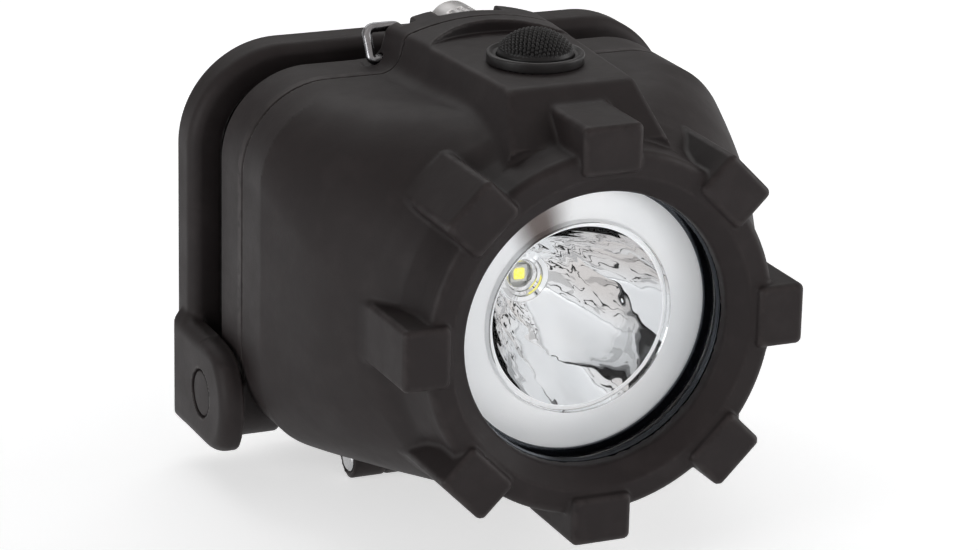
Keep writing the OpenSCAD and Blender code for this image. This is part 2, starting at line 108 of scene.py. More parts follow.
def steps(lo, hi, fine, coarse, zones):
    """Grid lines from lo to hi: fine inside the zones, coarse outside them."""
    scale = 1.0
    out = [lo]
    while out[-1] < hi:
        p = out[-1]
        gap = min([max(a - p, p - b, 0.0) for a, b in zones] or [1e9])
        t = min(1.0, gap / 2.5)
        out.append(p + scale * (fine + (coarse - fine) * t))
    return np.array(out)


def nets(F, axes):
    """Dual surface of the grid's zero set: vertices in mm and quads facing out."""
    S = F < 0
    nx, ny, nz = F.shape
    cnt = np.zeros((nx - 1, ny - 1, nz - 1), np.int8)
    corners = [(i, j, k) for i in (0, 1) for j in (0, 1) for k in (0, 1)]
    for i, j, k in corners:
        cnt += S[i : nx - 1 + i, j : ny - 1 + j, k : nz - 1 + k]
    act = (cnt > 0) & (cnt < 8)
    ci = np.argwhere(act)
    idx = np.full(act.shape, -1, np.int64)
    idx[act] = np.arange(len(ci))
    f = {c: F[ci[:, 0] + c[0], ci[:, 1] + c[1], ci[:, 2] + c[2]] for c in corners}
    acc, w = np.zeros((len(ci), 3)), np.zeros(len(ci))
    for a in range(3):
        b, c = (a + 1) % 3, (a + 2) % 3
        for u in (0, 1):
            for v in (0, 1):
                c0 = [0, 0, 0]
                c0[b], c0[c] = u, v
                c1 = list(c0)
                c1[a] = 1
                f0, f1 = f[tuple(c0)], f[tuple(c1)]
                m = (f0 < 0) != (f1 < 0)
                t = f0[m] / (f0[m] - f1[m])
                acc[m, a] += t
                acc[m, b] += u
                acc[m, c] += v
                w[m] += 1
    p = ci + acc / w[:, None]
    V = np.stack([np.interp(p[:, a], np.arange(len(axes[a])), axes[a]) for a in range(3)], 1)
    quads = []
    for a in range(3):
        b, c = (a + 1) % 3, (a + 2) % 3
        s0 = np.take(S, range(F.shape[a] - 1), a)
        s1 = np.take(S, range(1, F.shape[a]), a)
        g = np.argwhere(s0 != s1)
        g = g[(g[:, b] >= 1) & (g[:, c] >= 1)]
        g = g[(g[:, b] < F.shape[b] - 1) & (g[:, c] < F.shape[c] - 1)]
        inside = s0[g[:, 0], g[:, 1], g[:, 2]]
        cell = []
        for u, v in ((-1, -1), (0, -1), (0, 0), (-1, 0)):
            q = g.copy()
            q[:, b] += u
            q[:, c] += v
            cell.append(idx[q[:, 0], q[:, 1], q[:, 2]])
        q = np.stack(cell, 1)
        q[~inside] = q[~inside][:, ::-1]
        quads.append(q)
    return V, np.concatenate(quads)


def gradient(f, P, e):
    g = np.empty_like(P)
    for a in range(3):
        d = np.zeros(3)
        d[a] = e
        g[:, a] = (f(*(P + d).T) - f(*(P - d).T)) / (2 * e)
    return g


def moulded(name, f, xs, ys, zs, mirror=True, passes=3, limit=0.3):
    """A mesh of the field f, its vertices pulled onto the surface, with normals and a curvature attribute taken from the field."""
    if mirror:
        xs = xs - xs[0] + (xs[1] - xs[0]) / 2
    X, Y, Z = np.meshgrid(xs, ys, zs, indexing="ij")
    F = f(X, Y, Z)
    if mirror:
        F = np.concatenate([F[::-1], F])
        xs = np.concatenate([-xs[::-1], xs])
    F = np.where(np.abs(F) < 1e-6, 1e-6, F)
    V, Qd = nets(F, (xs, ys, zs))
    for _ in range(passes):
        g = gradient(f, V, 0.03)
        n2 = (g * g).sum(1)
        s = (f(*V.T) / np.maximum(n2, 0.15))[:, None] * g
        ln = np.linalg.norm(s, axis=1, keepdims=True)
        V = V - s * np.minimum(1.0, limit / np.maximum(ln, 1e-9))
    g = gradient(f, V, 0.05)
    N = g / np.maximum(np.linalg.norm(g, axis=1, keepdims=True), 1e-9)
    # where the faces and the field disagree, as in a tight corner, the faces win
    a, b, c, d = (V[Qd[:, i]] for i in range(4))
    fn = np.cross(c - a, d - b)
    vn = np.zeros_like(V)
    for i in range(4):
        np.add.at(vn, Qd[:, i], fn)
    vn /= np.maximum(np.linalg.norm(vn, axis=1, keepdims=True), 1e-12)
    bad = (vn * N).sum(1) < 0.55
    N[bad] = vn[bad]
    e = 0.55
    lap = -6 * f(*V.T)
    for ax in range(3):
        d3 = np.zeros(3)
        d3[ax] = e
        lap = lap + f(*(V + d3).T) + f(*(V - d3).T)
    curv = np.clip(lap / (e * e), -3, 3)
    me = bpy.data.meshes.new(name)
    me.from_pydata((V * MM).tolist(), [], Qd.tolist())
    me.update()
    at = me.attributes.new("curv", "FLOAT", "POINT")
    at.data.foreach_set("value", curv.astype(np.float32))
    me.polygons.foreach_set("use_smooth", np.ones(len(me.polygons), bool))
    me.normals_split_custom_set_from_vertices(N.tolist())
    ob = bpy.data.objects.new(name, me)
    bpy.context.scene.collection.objects.link(ob)
    return ob


# ------------------------------------------------------------------ lathed and swept meshes


def arc_profile(pts, closed=False, n=5):
    """pts are (r, t, fillet radius). Corners become arcs."""
    out = []
    m = len(pts)
    for i, (r, t, rad) in enumerate(pts):
        if rad <= 0 or (not closed and i in (0, m - 1)):
            out.append((r, t))
            continue
        p = np.array([r, t], float)
        a = np.array(pts[i - 1][:2], float) - p
        b = np.array(pts[(i + 1) % m][:2], float) - p
        la, lb = np.linalg.norm(a), np.linalg.norm(b)
        a, b = a / la, b / lb
        half = math.acos(max(-1, min(1, float(a @ b)))) / 2
        if half > math.pi / 2 - 0.02:
            out.append((r, t))
            continue
        cut = min(rad / math.tan(half), 0.49 * la, 0.49 * lb)
        rr = cut * math.tan(half)
        c = p + (a + b) / np.linalg.norm(a + b) * rr / math.sin(half)
        p0, p1 = p + a * cut - c, p + b * cut - c
        ang = math.acos(max(-1, min(1, float(p0 @ p1) / (rr * rr))))
        for k in range(n + 1):
            s = k / n
            v = (math.sin((1 - s) * ang) * p0 + math.sin(s * ang) * p1) / math.sin(ang)
            out.append(tuple(c + v))
    return out


def lathe_mesh(profiles, seg, place, closed=False):
    """profiles is a list of (points, material index). place maps (r cos, r sin, t) in mm to the frame."""
    V, Fc, Mi = [], [], []
    ang = np.arange(seg) * 2 * math.pi / seg
    ca, sa = np.cos(ang), np.sin(ang)
    prev = None
    first = None
    for pts, mi in profiles:
        for j, (r, t) in enumerate(pts):
            if prev is not None and j == 0 and pts is not profiles[0][0]:
                # the next stretch starts where the last one ended
                if abs(prev[2][0] - r) < 1e-6 and abs(prev[2][1] - t) < 1e-6:
                    continue
            base = len(V)
            if r < 1e-6:
                V.append((0.0, 0.0, t))
                cur = (base, 1, (r, t))
            else:
                V.extend(zip((r * ca).tolist(), (r * sa).tolist(), [t] * seg))
                cur = (base, seg, (r, t))
            if prev is not None:
                add_band(Fc, Mi, prev, cur, seg, mi)
            else:
                first = cur
            prev = cur
    if closed:
        add_band(Fc, Mi, prev, first, seg, profiles[-1][1])
    P = np.array(V, float)
    return place(P), Fc, Mi


def add_band(Fc, Mi, a, b, seg, mi):
    for k in range(seg):
        k2 = (k + 1) % seg
        if a[1] == 1 and b[1] == 1:
            return
        if a[1] == 1:
            Fc.append((a[0], b[0] + k, b[0] + k2))
        elif b[1] == 1:
            Fc.append((a[0] + k, b[0], a[0] + k2))
        else:
            Fc.append((a[0] + k, b[0] + k, b[0] + k2, a[0] + k2))
        Mi.append(mi)


def mesh_object(name, V, Fc, mats, Mi=None, sharp=35, flip=None):
    """V in mm. Faces are turned to point outward by volume sign unless flip is given."""
    V = np.asarray(V, float)
    vol = 0.0
    for f in Fc:
        a = V[f[0]]
        for i in range(1, len(f) - 1):
            vol += float(np.dot(a, np.cross(V[f[i]], V[f[i + 1]])))
    if vol < 0 if flip is None else flip:
        Fc = [tuple(reversed(f)) for f in Fc]
    me = bpy.data.meshes.new(name)
    me.from_pydata((V * MM).tolist(), [], Fc)
    me.update()
    for m in mats:
        me.materials.append(m)
    if Mi is not None:
        me.polygons.foreach_set("material_index", np.array(Mi, np.int32))
    me.polygons.foreach_set("use_smooth", np.ones(len(me.polygons), bool))
    if sharp:
        me.set_sharp_from_angle(angle=math.radians(sharp))
    ob = bpy.data.objects.new(name, me)
    bpy.context.scene.collection.objects.link(ob)
    return ob


def along_y(P):
    """Lathe axis t becomes +Y."""
    return np.stack([P[:, 0], P[:, 2], -P[:, 1]], 1)


def along_z(x, y):
    return lambda P: np.stack([P[:, 0] + x, P[:, 1] + y, P[:, 2]], 1)


def along_x(y, z, sign=1):
    return lambda P: np.stack([sign * P[:, 2], P[:, 0] + y, P[:, 1] * sign + z], 1)


def sweep(path, r, seg):
    """Round wire along a path of points in mm, with flat ends."""
    P = np.asarray(path, float)
    T = np.gradient(P, axis=0)
    T /= np.linalg.norm(T, axis=1, keepdims=True)
    u = np.cross(T[0], [0.0, 0.3, 1.0])
    u /= np.linalg.norm(u)
    V, Fc = [], []
    for i in range(len(P)):
        u = u - T[i] * (u @ T[i])
        u /= np.linalg.norm(u)
        w = np.cross(T[i], u)
        for k in range(seg):
            a = 2 * math.pi * k / seg
            V.append(P[i] + r * (math.cos(a) * u + math.sin(a) * w))
    for i in range(len(P) - 1):
        for k in range(seg):
            k2 = (k + 1) % seg
            Fc.append((i * seg + k, i * seg + k2, (i + 1) * seg + k2, (i + 1) * seg + k))
    Fc.append(tuple(range(seg - 1, -1, -1)))
    n = (len(P) - 1) * seg
    Fc.append(tuple(range(n, n + seg)))
    return np.array(V), Fc


def join(parts):
    V, Fc, Mi, n = [], [], [], 0
    for p in parts:
        v, f = p[0], p[1]
        m = p[2] if len(p) > 2 else [0] * len(f)
        V.append(v)
        Fc += [tuple(i + n for i in q) for q in f]
        Mi += list(m)
        n += len(v)
    return np.concatenate(V), Fc, Mi


# ------------------------------------------------------------------ materials


class Tree:
    def __init__(self, name):
        self.m = bpy.data.materials.new(name)
        self.m.use_nodes = True
        self.t = self.m.node_tree
        self.t.nodes.clear()
        self.out = self.t.nodes.new("ShaderNodeOutputMaterial")
        self.co = self.n("ShaderNodeTexCoord").outputs["Object"]

    def n(self, kind, **kw):
        node = self.t.nodes.new(kind)
        for k, v in kw.items():
            if hasattr(node, k) and k not in node.inputs:
                setattr(node, k, v)
            else:
                node.inputs[k].default_value = v
        return node

    def link(self, a, b):
        self.t.links.new(a, b)

    def vec(self, sx=1.0, sy=1.0, sz=1.0, rot=(0, 0, 0)):
        mp = self.n("ShaderNodeMapping")
        mp.inputs["Scale"].default_value = (sx, sy, sz)
        mp.inputs["Rotation"].default_value = rot
        self.link(self.co, mp.inputs["Vector"])
        return mp.outputs["Vector"]

    def noise(self, scale, detail=2.0, rough=0.5, vec=None, dist=0.0):
        nd = self.n("ShaderNodeTexNoise")
        nd.inputs["Scale"].default_value = scale
        nd.inputs["Detail"].default_value = detail
        nd.inputs["Roughness"].default_value = rough
        nd.inputs["Distortion"].default_value = dist
        self.link(vec if vec is not None else self.co, nd.inputs["Vector"])
        return nd.outputs["Fac"]

    def ramp(self, src, lo, hi, a=0.0, b=1.0):
        mr = self.n("ShaderNodeMapRange")
        mr.interpolation_type = "SMOOTHSTEP"
        mr.inputs["From Min"].default_value = lo
        mr.inputs["From Max"].default_value = hi
        mr.inputs["To Min"].default_value = a
        mr.inputs["To Max"].default_value = b
        self.link(src, mr.inputs["Value"])
        return mr.outputs["Result"]

    def mix(self, fac, ca, cb):
        mx = self.n("ShaderNodeMix")
        mx.data_type = "RGBA"
        if hasattr(fac, "default_value") or not isinstance(fac, (int, float)):
            self.link(fac, mx.inputs[0])
        else:
            mx.inputs[0].default_value = fac
        for sock, c in ((mx.inputs[6], ca), (mx.inputs[7], cb)):
            if isinstance(c, tuple):
                sock.default_value = (*c, 1.0) if len(c) == 3 else c
            else:
                self.link(c, sock)
        return mx.outputs[2]

    def math(self, op, a, b=None):
        md = self.n("ShaderNodeMath")
        md.operation = op
        for i, v in enumerate((a, b)):
            if v is None:
                continue
            if isinstance(v, (int, float)):
                md.inputs[i].default_value = v
            else:
                self.link(v, md.inputs[i])
        return md.outputs[0]

    def bump(self, height, distance, strength=1.0, normal=None):
        bp = self.n("ShaderNodeBump")
        bp.inputs["Strength"].default_value = strength
        bp.inputs["Distance"].default_value = distance
        self.link(height, bp.inputs["Height"])
        if normal is not None:
            self.link(normal, bp.inputs["Normal"])
        return bp.outputs["Normal"]

    def principled(self, color, rough, normal=None, **kw):
        p = self.n("ShaderNodeBsdfPrincipled")
        for sock, v in (("Base Color", color), ("Roughness", rough)):
            if isinstance(v, tuple):
                p.inputs[sock].default_value = (*v, 1.0)
            elif isinstance(v, (int, float)):
                p.inputs[sock].default_value = v
            else:
                self.link(v, p.inputs[sock])
        if normal is not None:
            self.link(normal, p.inputs["Normal"])
        for k, v in kw.items():
            s = p.inputs[k.replace("_", " ")]
            if isinstance(v, (int, float, tuple)):
                s.default_value = (*v, 1.0) if isinstance(v, tuple) else v
            else:
                self.link(v, s)
        return p

    def finish(self, shader):
        self.link(shader, self.out.inputs["Surface"])
        return self.m


def plastic(name, lo, hi, edge, r0, r1, grain=5200.0, depth=1.4e-5, spec=0.5, wear=1.0, sheen=0.0):
    """Moulded or rubbery polymer: broad colour drift, a fine moulded grain and lightly polished edges."""
    t = Tree(name)
    drift = t.noise(38.0, 4.0, 0.6)
    cloud = t.noise(260.0, 3.0, 0.55)
    fine = t.noise(grain, 2.0, 0.5)
    col = t.mix(t.ramp(drift, 0.3, 0.7), lo, hi)
    col = t.mix(t.math("MULTIPLY", t.ramp(cloud, 0.45, 0.75), 0.35), col, edge)
    at = t.n("ShaderNodeAttribute")
    at.attribute_name = "curv"
    rub = t.math("MULTIPLY", t.ramp(at.outputs["Fac"], 0.35, 1.7), t.ramp(t.noise(620.0, 3.0), 0.3, 0.62))
    rub = t.math("MULTIPLY", rub, wear)
    col = t.mix(rub, col, edge)
    rough = t.ramp(t.noise(150.0, 4.0, 0.6), 0.25, 0.75, r0, r1)
    rough = t.math("SUBTRACT", rough, t.math("MULTIPLY", rub, 0.08))
    nrm = t.bump(fine, depth, 0.8)
    nrm = t.bump(t.noise(900.0, 2.0), depth * 1.6, 0.5, nrm)
    p = t.principled(col, rough, nrm, Specular_IOR_Level=spec)
    if sheen:
        p.inputs["Sheen Weight"].default_value = sheen
        p.inputs["Sheen Roughness"].default_value = 0.5
    return t.finish(p.outputs[0])


def metal(name, lo, hi, r0, r1, stretch=(1, 1, 1), scale=900.0, depth=6e-6, aniso=0.0):
    """Turned, drawn or plated metal with fine lines along one way."""
    t = Tree(name)
    v = t.vec(*stretch)
    lines = t.noise(scale, 4.0, 0.65, v)
    spots = t.noise(320.0, 3.0, 0.5)
    col = t.mix(t.ramp(spots, 0.3, 0.75), lo, hi)
    rough = t.ramp(lines, 0.3, 0.7, r0, r1)
    nrm = t.bump(lines, depth, 0.7)
    p = t.principled(col, rough, nrm, Metallic=1.0)
    p.inputs["Anisotropic"].default_value = aniso
    return t.finish(p.outputs[0])


M = {}
M["black_polymer"] = plastic("black_polymer", (0.0158, 0.0122, 0.0124), (0.0192, 0.0152, 0.0152), (0.0305, 0.0247, 0.0245), 0.48, 0.58, spec=0.20)
M["ring_polymer"] = plastic("ring_polymer", (0.0112, 0.0098, 0.0098), (0.0150, 0.0130, 0.0130), (0.025, 0.0235, 0.024), 0.34, 0.44, grain=4200.0, spec=0.32)
M["button_rubber"] = plastic("button_rubber", (0.0052, 0.0048, 0.0050), (0.0080, 0.0073, 0.0075), (0.015, 0.0138, 0.0142), 0.36, 0.48, grain=7000.0, depth=8e-6, spec=0.26)


def seal():
    """Glossy black rubber with a faint cool cast and a slow roll to its surface, no grain."""
    t = Tree("seal_rubber")
    col = t.mix(t.ramp(t.noise(60.0, 3.0), 0.3, 0.7), (0.0026, 0.0030, 0.0040), (0.0042, 0.0048, 0.0064))
    rough = t.ramp(t.noise(220.0, 3.0), 0.3, 0.7, 0.10, 0.17)
    nrm = t.bump(t.noise(130.0, 2.0), 1.2e-5, 0.5)
    p = t.principled(col, rough, nrm, Specular_IOR_Level=0.55)
    p.inputs["Specular Tint"].default_value = (0.80, 0.88, 1.0, 1.0)
    return t.finish(p.outputs[0])


M["seal_rubber"] = seal()
M["tray_polymer"] = plastic("tray_polymer", (0.052, 0.053, 0.056), (0.066, 0.067, 0.071), (0.10, 0.10, 0.105), 0.42, 0.52)
M["cell_jacket"] = plastic("cell_jacket", (0.30, 0.105, 0.022), (0.36, 0.135, 0.032), (0.42, 0.18, 0.06), 0.22, 0.32, grain=900.0, depth=5e-6, spec=0.6)
M["cell_band"] = plastic("cell_band", (0.018, 0.018, 0.020), (0.026, 0.026, 0.028), (0.05, 0.05, 0.05), 0.22, 0.32, grain=900.0, depth=5e-6, spec=0.6)
M["steel_turned"] = metal("steel_turned", (0.62, 0.61, 0.61), (0.74, 0.73, 0.73), 0.26, 0.33, (1, 2, 1), 260.0, 1.2e-6)
M["steel"] = metal("steel", (0.56, 0.56, 0.57), (0.68, 0.68, 0.69), 0.20, 0.34, (1, 6, 1), 1400.0)
M["spring_steel"] = metal("spring_steel", (0.50, 0.50, 0.52), (0.62, 0.62, 0.64), 0.18, 0.30, (1, 1, 1), 1800.0)
M["dark_wire"] = metal("dark_wire", (0.20, 0.20, 0.21), (0.32, 0.32, 0.33), 0.16, 0.28, (1, 1, 4), 1600.0)
M["plated_contact"] = metal("plated_contact", (0.62, 0.55, 0.38), (0.74, 0.68, 0.52), 0.22, 0.36, (1, 1, 5), 1500.0)
M["insert_brass"] = metal("insert_brass", (0.60, 0.44, 0.18), (0.72, 0.54, 0.24), 0.22, 0.34, (1, 5, 1), 1500.0)
M["heat_sink_aluminium"] = metal("heat_sink_aluminium", (0.60, 0.61, 0.62), (0.70, 0.71, 0.72), 0.32, 0.46, (1, 1, 7), 1500.0)
M["led_ceramic"] = plastic("led_ceramic", (0.80, 0.80, 0.77), (0.88, 0.88, 0.85), (0.92, 0.92, 0.90), 0.35, 0.45, grain=3000.0, depth=4e-6)
M["board_white"] = plastic("board_white", (0.62, 0.62, 0.60), (0.72, 0.72, 0.70), (0.78, 0.78, 0.76), 0.30, 0.42, grain=2500.0, depth=5e-6)
M["component_black"] = plastic("component_black", (0.012, 0.012, 0.013), (0.022, 0.022, 0.023), (0.05, 0.05, 0.05), 0.35, 0.5, grain=3500.0, depth=1e-5)
M["lead_red"] = plastic("lead_red", (0.36, 0.014, 0.012), (0.44, 0.022, 0.018), (0.5, 0.05, 0.04), 0.32, 0.42, grain=2500.0, depth=5e-6)
M["lead_black"] = plastic("lead_black", (0.012, 0.012, 0.012), (0.020, 0.020, 0.020), (0.04, 0.04, 0.04), 0.32, 0.42, grain=2500.0, depth=5e-6)


def board_green():
    """Solder-masked board: a faint track pattern under the mask."""
    t = Tree("board_green")
    br = t.n("ShaderNodeTexBrick")
    br.inputs["Scale"].default_value = 260.0
    br.inputs["Mortar Size"].default_value = 0.09
    br.inputs["Color1"].default_value = (0.0, 0.0, 0.0, 1)
    br.inputs["Color2"].default_value = (0.15, 0.15, 0.15, 1)
    br.inputs["Mortar"].default_value = (1, 1, 1, 1)
    t.link(t.vec(1, 1, 1, (math.radians(90), 0, 0)), br.inputs["Vector"])
    base = t.mix(t.ramp(t.noise(90.0, 3.0), 0.3, 0.7), (0.010, 0.070, 0.028), (0.016, 0.095, 0.038))
    col = t.mix(t.math("MULTIPLY", br.outputs["Fac"], 0.6), base, (0.030, 0.170, 0.070))
    rough = t.ramp(t.noise(700.0, 2.0), 0.3, 0.7, 0.22, 0.34)
    nrm = t.bump(br.outputs["Fac"], 2e-5, 0.6)
    return t.finish(t.principled(col, rough, nrm).outputs[0])


M["board_green"] = board_green()


def mirror(name, rough0, rough1, wave, ripple, metallic=1.0, painted_dark_reflection=False, painted_glow=0.0):
    """Vacuum-metallised plastic: bright, with a slow waviness and faint radial ripple."""
    t = Tree(name)
    col = t.mix(t.ramp(t.noise(60.0, 3.0), 0.3, 0.7), (0.90, 0.905, 0.91), (0.955, 0.958, 0.96))
    if painted_dark_reflection:
        # painted reflection: a dark smear darkens the colour high on the left of the flat ring, where a dark reflection
        # falls
        co = t.n("ShaderNodeTexCoord")
        xyz = t.n("ShaderNodeSeparateXYZ")
        t.link(co.outputs["Object"], xyz.inputs[0])
        ang = t.math("ARCTAN2", t.math("MULTIPLY", xyz.outputs["X"], -1.0), xyz.outputs["Z"])
        off = t.math("ABSOLUTE", t.math("SUBTRACT", ang, 0.42))
        wob = t.math("ADD", off, t.math("MULTIPLY", t.math("SUBTRACT", t.noise(90.0, 3.0), 0.5), 0.22))
        col = t.mix(t.ramp(wob, 0.04, 0.36), (0.13, 0.10, 0.09), col)
    rough = t.ramp(t.noise(400.0, 3.0), 0.3, 0.7, rough0, rough1)
    nrm = t.bump(t.noise(105.0, 1.2, 0.42, None, 1.0), wave, 1.0)
    if ripple:
        nrm = t.bump(t.noise(330.0, 0.5), ripple, 1.0, nrm)
    p = t.principled(col, rough, nrm, Metallic=metallic)
    if painted_glow:
        # painted light: the flat ring glows faintly in its own colour, so it looks brighter than its lighting makes it
        t.link(col, p.inputs["Emission Color"])
        p.inputs["Emission Strength"].default_value = painted_glow
    return t.finish(p.outputs[0])


M["mirror_chrome"] = mirror("mirror_chrome", 0.010, 0.022, 2.2e-4, 0.7e-5)
# the flat ring gets a painted dark reflection (True) and a painted glow (0.17)
M["mirror_flange"] = mirror("mirror_flange", 0.30, 0.36, 4e-6, 1e-6, 0.16, True, 0.17)


def clear_lens():
    """Flat clear polycarbonate: lets light through straight and reflects by angle, with a faint hard-coat haze."""
    t = Tree("lens_clear")
    fres = t.n("ShaderNodeFresnel")
    fres.inputs["IOR"].default_value = 1.30
    tr = t.n("ShaderNodeBsdfTransparent")
    t.link(t.mix(t.ramp(t.noise(120.0, 2.0), 0.3, 0.7), (0.975, 0.98, 0.985), (0.99, 0.992, 0.995)), tr.inputs["Color"])
    gl = t.n("ShaderNodeBsdfGlossy")
    gl.inputs["Roughness"].default_value = 0.03
    t.link(t.ramp(t.noise(500.0, 3.0), 0.3, 0.7, 0.01, 0.04), gl.inputs["Roughness"])
    mx = t.n("ShaderNodeMixShader")
    t.link(t.math("MULTIPLY", fres.outputs[0], 0.5), mx.inputs[0])
    t.link(tr.outputs[0], mx.inputs[1])
    t.link(gl.outputs[0], mx.inputs[2])
    return t.finish(mx.outputs[0])


M["lens_clear"] = clear_lens()


def phosphor():
    t = Tree("led_phosphor")
    col = t.mix(t.ramp(t.noise(2500.0, 3.0), 0.35, 0.65), (0.93, 0.83, 0.10), (0.97, 0.90, 0.22))
    p = t.principled(col, t.ramp(t.noise(1800.0, 2.0), 0.3, 0.7, 0.30, 0.45), t.bump(t.noise(3000.0, 2.0), 1e-5))
    t.link(col, p.inputs["Emission Color"])
    p.inputs["Emission Strength"].default_value = 0.55
    return t.finish(p.outputs[0])


M["led_phosphor"] = phosphor()

# ------------------------------------------------------------------ the lamp's moulded parts

ZC = 0.1
Y_PART, Y_TILT, Z_TILT, Z_HINGE, R_KN = -19.1, -13.3, -18.4, -27.7, 2.65
Y_BTN, Z_DECK, Z_SCREW = -36.2, 28.6, 26.6

# sections of the case from the parting plane to the bezel: y, half width, half height, corner radius, centre height
SEC = [
    (-60.0, 23.2, 23.2, 23.2, 0.0),
    (-54.6, 23.2, 23.2, 23.2, 0.0),
    (-51.0, 23.95, 23.5, 23.1, 0.0),
    (-47.2, 26.5, 24.0, 22.6, 0.05),
    (-43.0, 28.2, 24.1, 20.8, 0.2),
    (-39.0, 29.5, 24.1, 18.7, 0.3),
    (-33.0, 30.9, 23.9, 15.4, 0.2),
    (-28.5, 31.72, 23.75, 12.9, 0.1),
    (-25.6, 32.2, 23.7, 11.5, 0.1),
]
TY = np.arange(-60.0, -25.599, 0.05)
TAB = [pchip([s[0] for s in SEC], [s[i] for s in SEC], TY) for i in range(1, 5)]
TY = np.concatenate([TY, [-25.4, -8.0]])
TAB = [np.concatenate([t, [t[-1], t[-1]]]) for t in TAB]
TK = 1.0 / np.sqrt(1.0 + np.gradient(TAB[0], TY) ** 2)


def case_section(x, y, z, inset=0.0):
    a, b, r, c = (np.interp(y, TY, t) for t in TAB)
    return rrect(x, z - c, a - inset, b - inset, r - inset) * np.interp(y, TY, TK)


def hump_flank(ax, y, z):
    w = 8.4 + (y + 47.0) * (1.8 / 27.8)
    s = 0.365 - (y + 47.0) * (0.087 / 27.8)
    return (ax - (w + s * (Z_DECK - z))) / np.sqrt(1 + s * s)


def hump_crown(x, z):
    return np.sqrt(x * x + (z - 0.25) ** 2) - 30.0


def front_field(x, y, z):
    ax = np.abs(x)
    body = rint(case_section(ax, y, z), -58.3 - y, 1.15)
    # impact lugs
    th = np.arctan2(z, ax)
    rho = np.sqrt(ax * ax + z * z)
    th = th - np.round(th / (math.pi / 4)) * (math.pi / 4)
    u, v = rho * np.cos(th), rho * np.sin(th)
    lug = boxd(u, y, v, 20.5, 26.7, -59.5, -45.5, -3.95, 3.95, 0.85)
    body = runi(body, lug, 0.55)
    # switch hump: flanks, sloped front, flat deck, crowned rear with its crescent step
    front = -0.733 * (y + 47.0) + 0.680 * (z - Z_DECK)
    crown = smax(hump_crown(x, z), 13.35 - np.sqrt(x * x + (y + 34.85) ** 2), 0.3)
    crown = smax(crown, -34.85 - y, 0.3)
    top = smin(z - Z_DECK, crown, 0.25)
    hump = smax(smax(hump_flank(ax, y, z), front, 0.75), top, 0.75)
    hump = np.maximum(hump, np.maximum(18.0 - z, -52.6 - y))
    k = np.interp(y, [-52.0, -46.0, -34.0, -22.0], [0.5, 0.9, 1.9, 2.4])
    body = smin(body, hump, k)
    body = smax(body, y + 19.2, 0.22)
    # inner hinge knuckle and its web
    kn = rint(np.sqrt((y - Y_PART) ** 2 + (z - Z_HINGE) ** 2) - R_KN, ax - 12.7, 0.35)
    web = boxd(x, y, z, -12.7, 12.7, -24.2, -19.25, -29.4, -21.8, 0.3)
    web = smax(web, (-(y + 19.1) * 0.60 - (z - Z_HINGE) * 0.80) - 2.6, 0.6)
    body = smin(body, smin(kn, web, 0.5), 0.8)
    # cavity
    cin = case_section(ax, y, z, 2.0)
    cin = smax(cin, -38.4 - y, 0.6)
    t = np.clip((y + 45.6) / 7.2, 0, 1)
    neck = rrect(ax, z - 0.1 * t, 20.4 + 7.1 * t, 20.4 + 1.5 * t, 20.4 - 4.4 * t) * 0.8
    neck = np.maximum(neck, np.maximum(-45.6 - y, y + 38.0))
    cav = np.minimum(cin, neck)
    for px, pz, pr, y0, y1 in ((21, 13, 2.6, -47, -31.3), (21, -13, 2.6, -47, -31.3), (13, ZC + 18.6, 3.2, -47, -24.71), (13, ZC - 18.6, 3.2, -47, -24.71)):
        post = np.maximum(np.sqrt((ax - px) ** 2 + (z - pz) ** 2) - pr, y - y1)
        cav = smax(cav, -post, 0.5)
    # stepped bore for the lens stack
    seat = np.maximum(rho - 19.2, np.maximum(-54.6 - y, y + 44.0))
    lip = np.maximum(rho - 17.5, y + 54.0)
    cone = np.maximum((rho - 17.5 - 1.25 * (-56.3 - y)) * 0.625, rho - 20.0)
    cone = np.maximum(cone, y + 56.3)
    bore = np.minimum(seat, smin(lip, cone, 0.35))
    # switch bore, pocket and board seat
    rb = np.sqrt(x * x + (y - Y_BTN) ** 2)
    sw = np.maximum(rb - 5.66, 25.8 - z)
    pk = np.maximum(rb - 8.2, np.maximum(19.0 - z, z - 26.6))
    st = np.maximum(rb - 9.6, np.maximum(18.0 - z, z - 22.0))
    hole = np.minimum(sw, np.minimum(pk, st))
    # insert pocket, run-out, clip relief and hinge bore
    rs = np.sqrt(x * x + (z - Z_SCREW) ** 2)
    ins = np.minimum(np.maximum(rs - 1.77, -23.0 - y), np.maximum(rs - 2.6, -20.0 - y))
    ins = np.maximum(ins, np.where(y < -21.0, z - 28.05, -9.0))
    hb = np.maximum(np.sqrt((y - Y_PART) ** 2 + (z - Z_HINGE) ** 2) - 1.81, ax - 14.0)
    void = np.minimum(np.minimum(cav, bore), np.minimum(hole, np.minimum(ins, hb)))
    return smax(body, -void, 0.22)


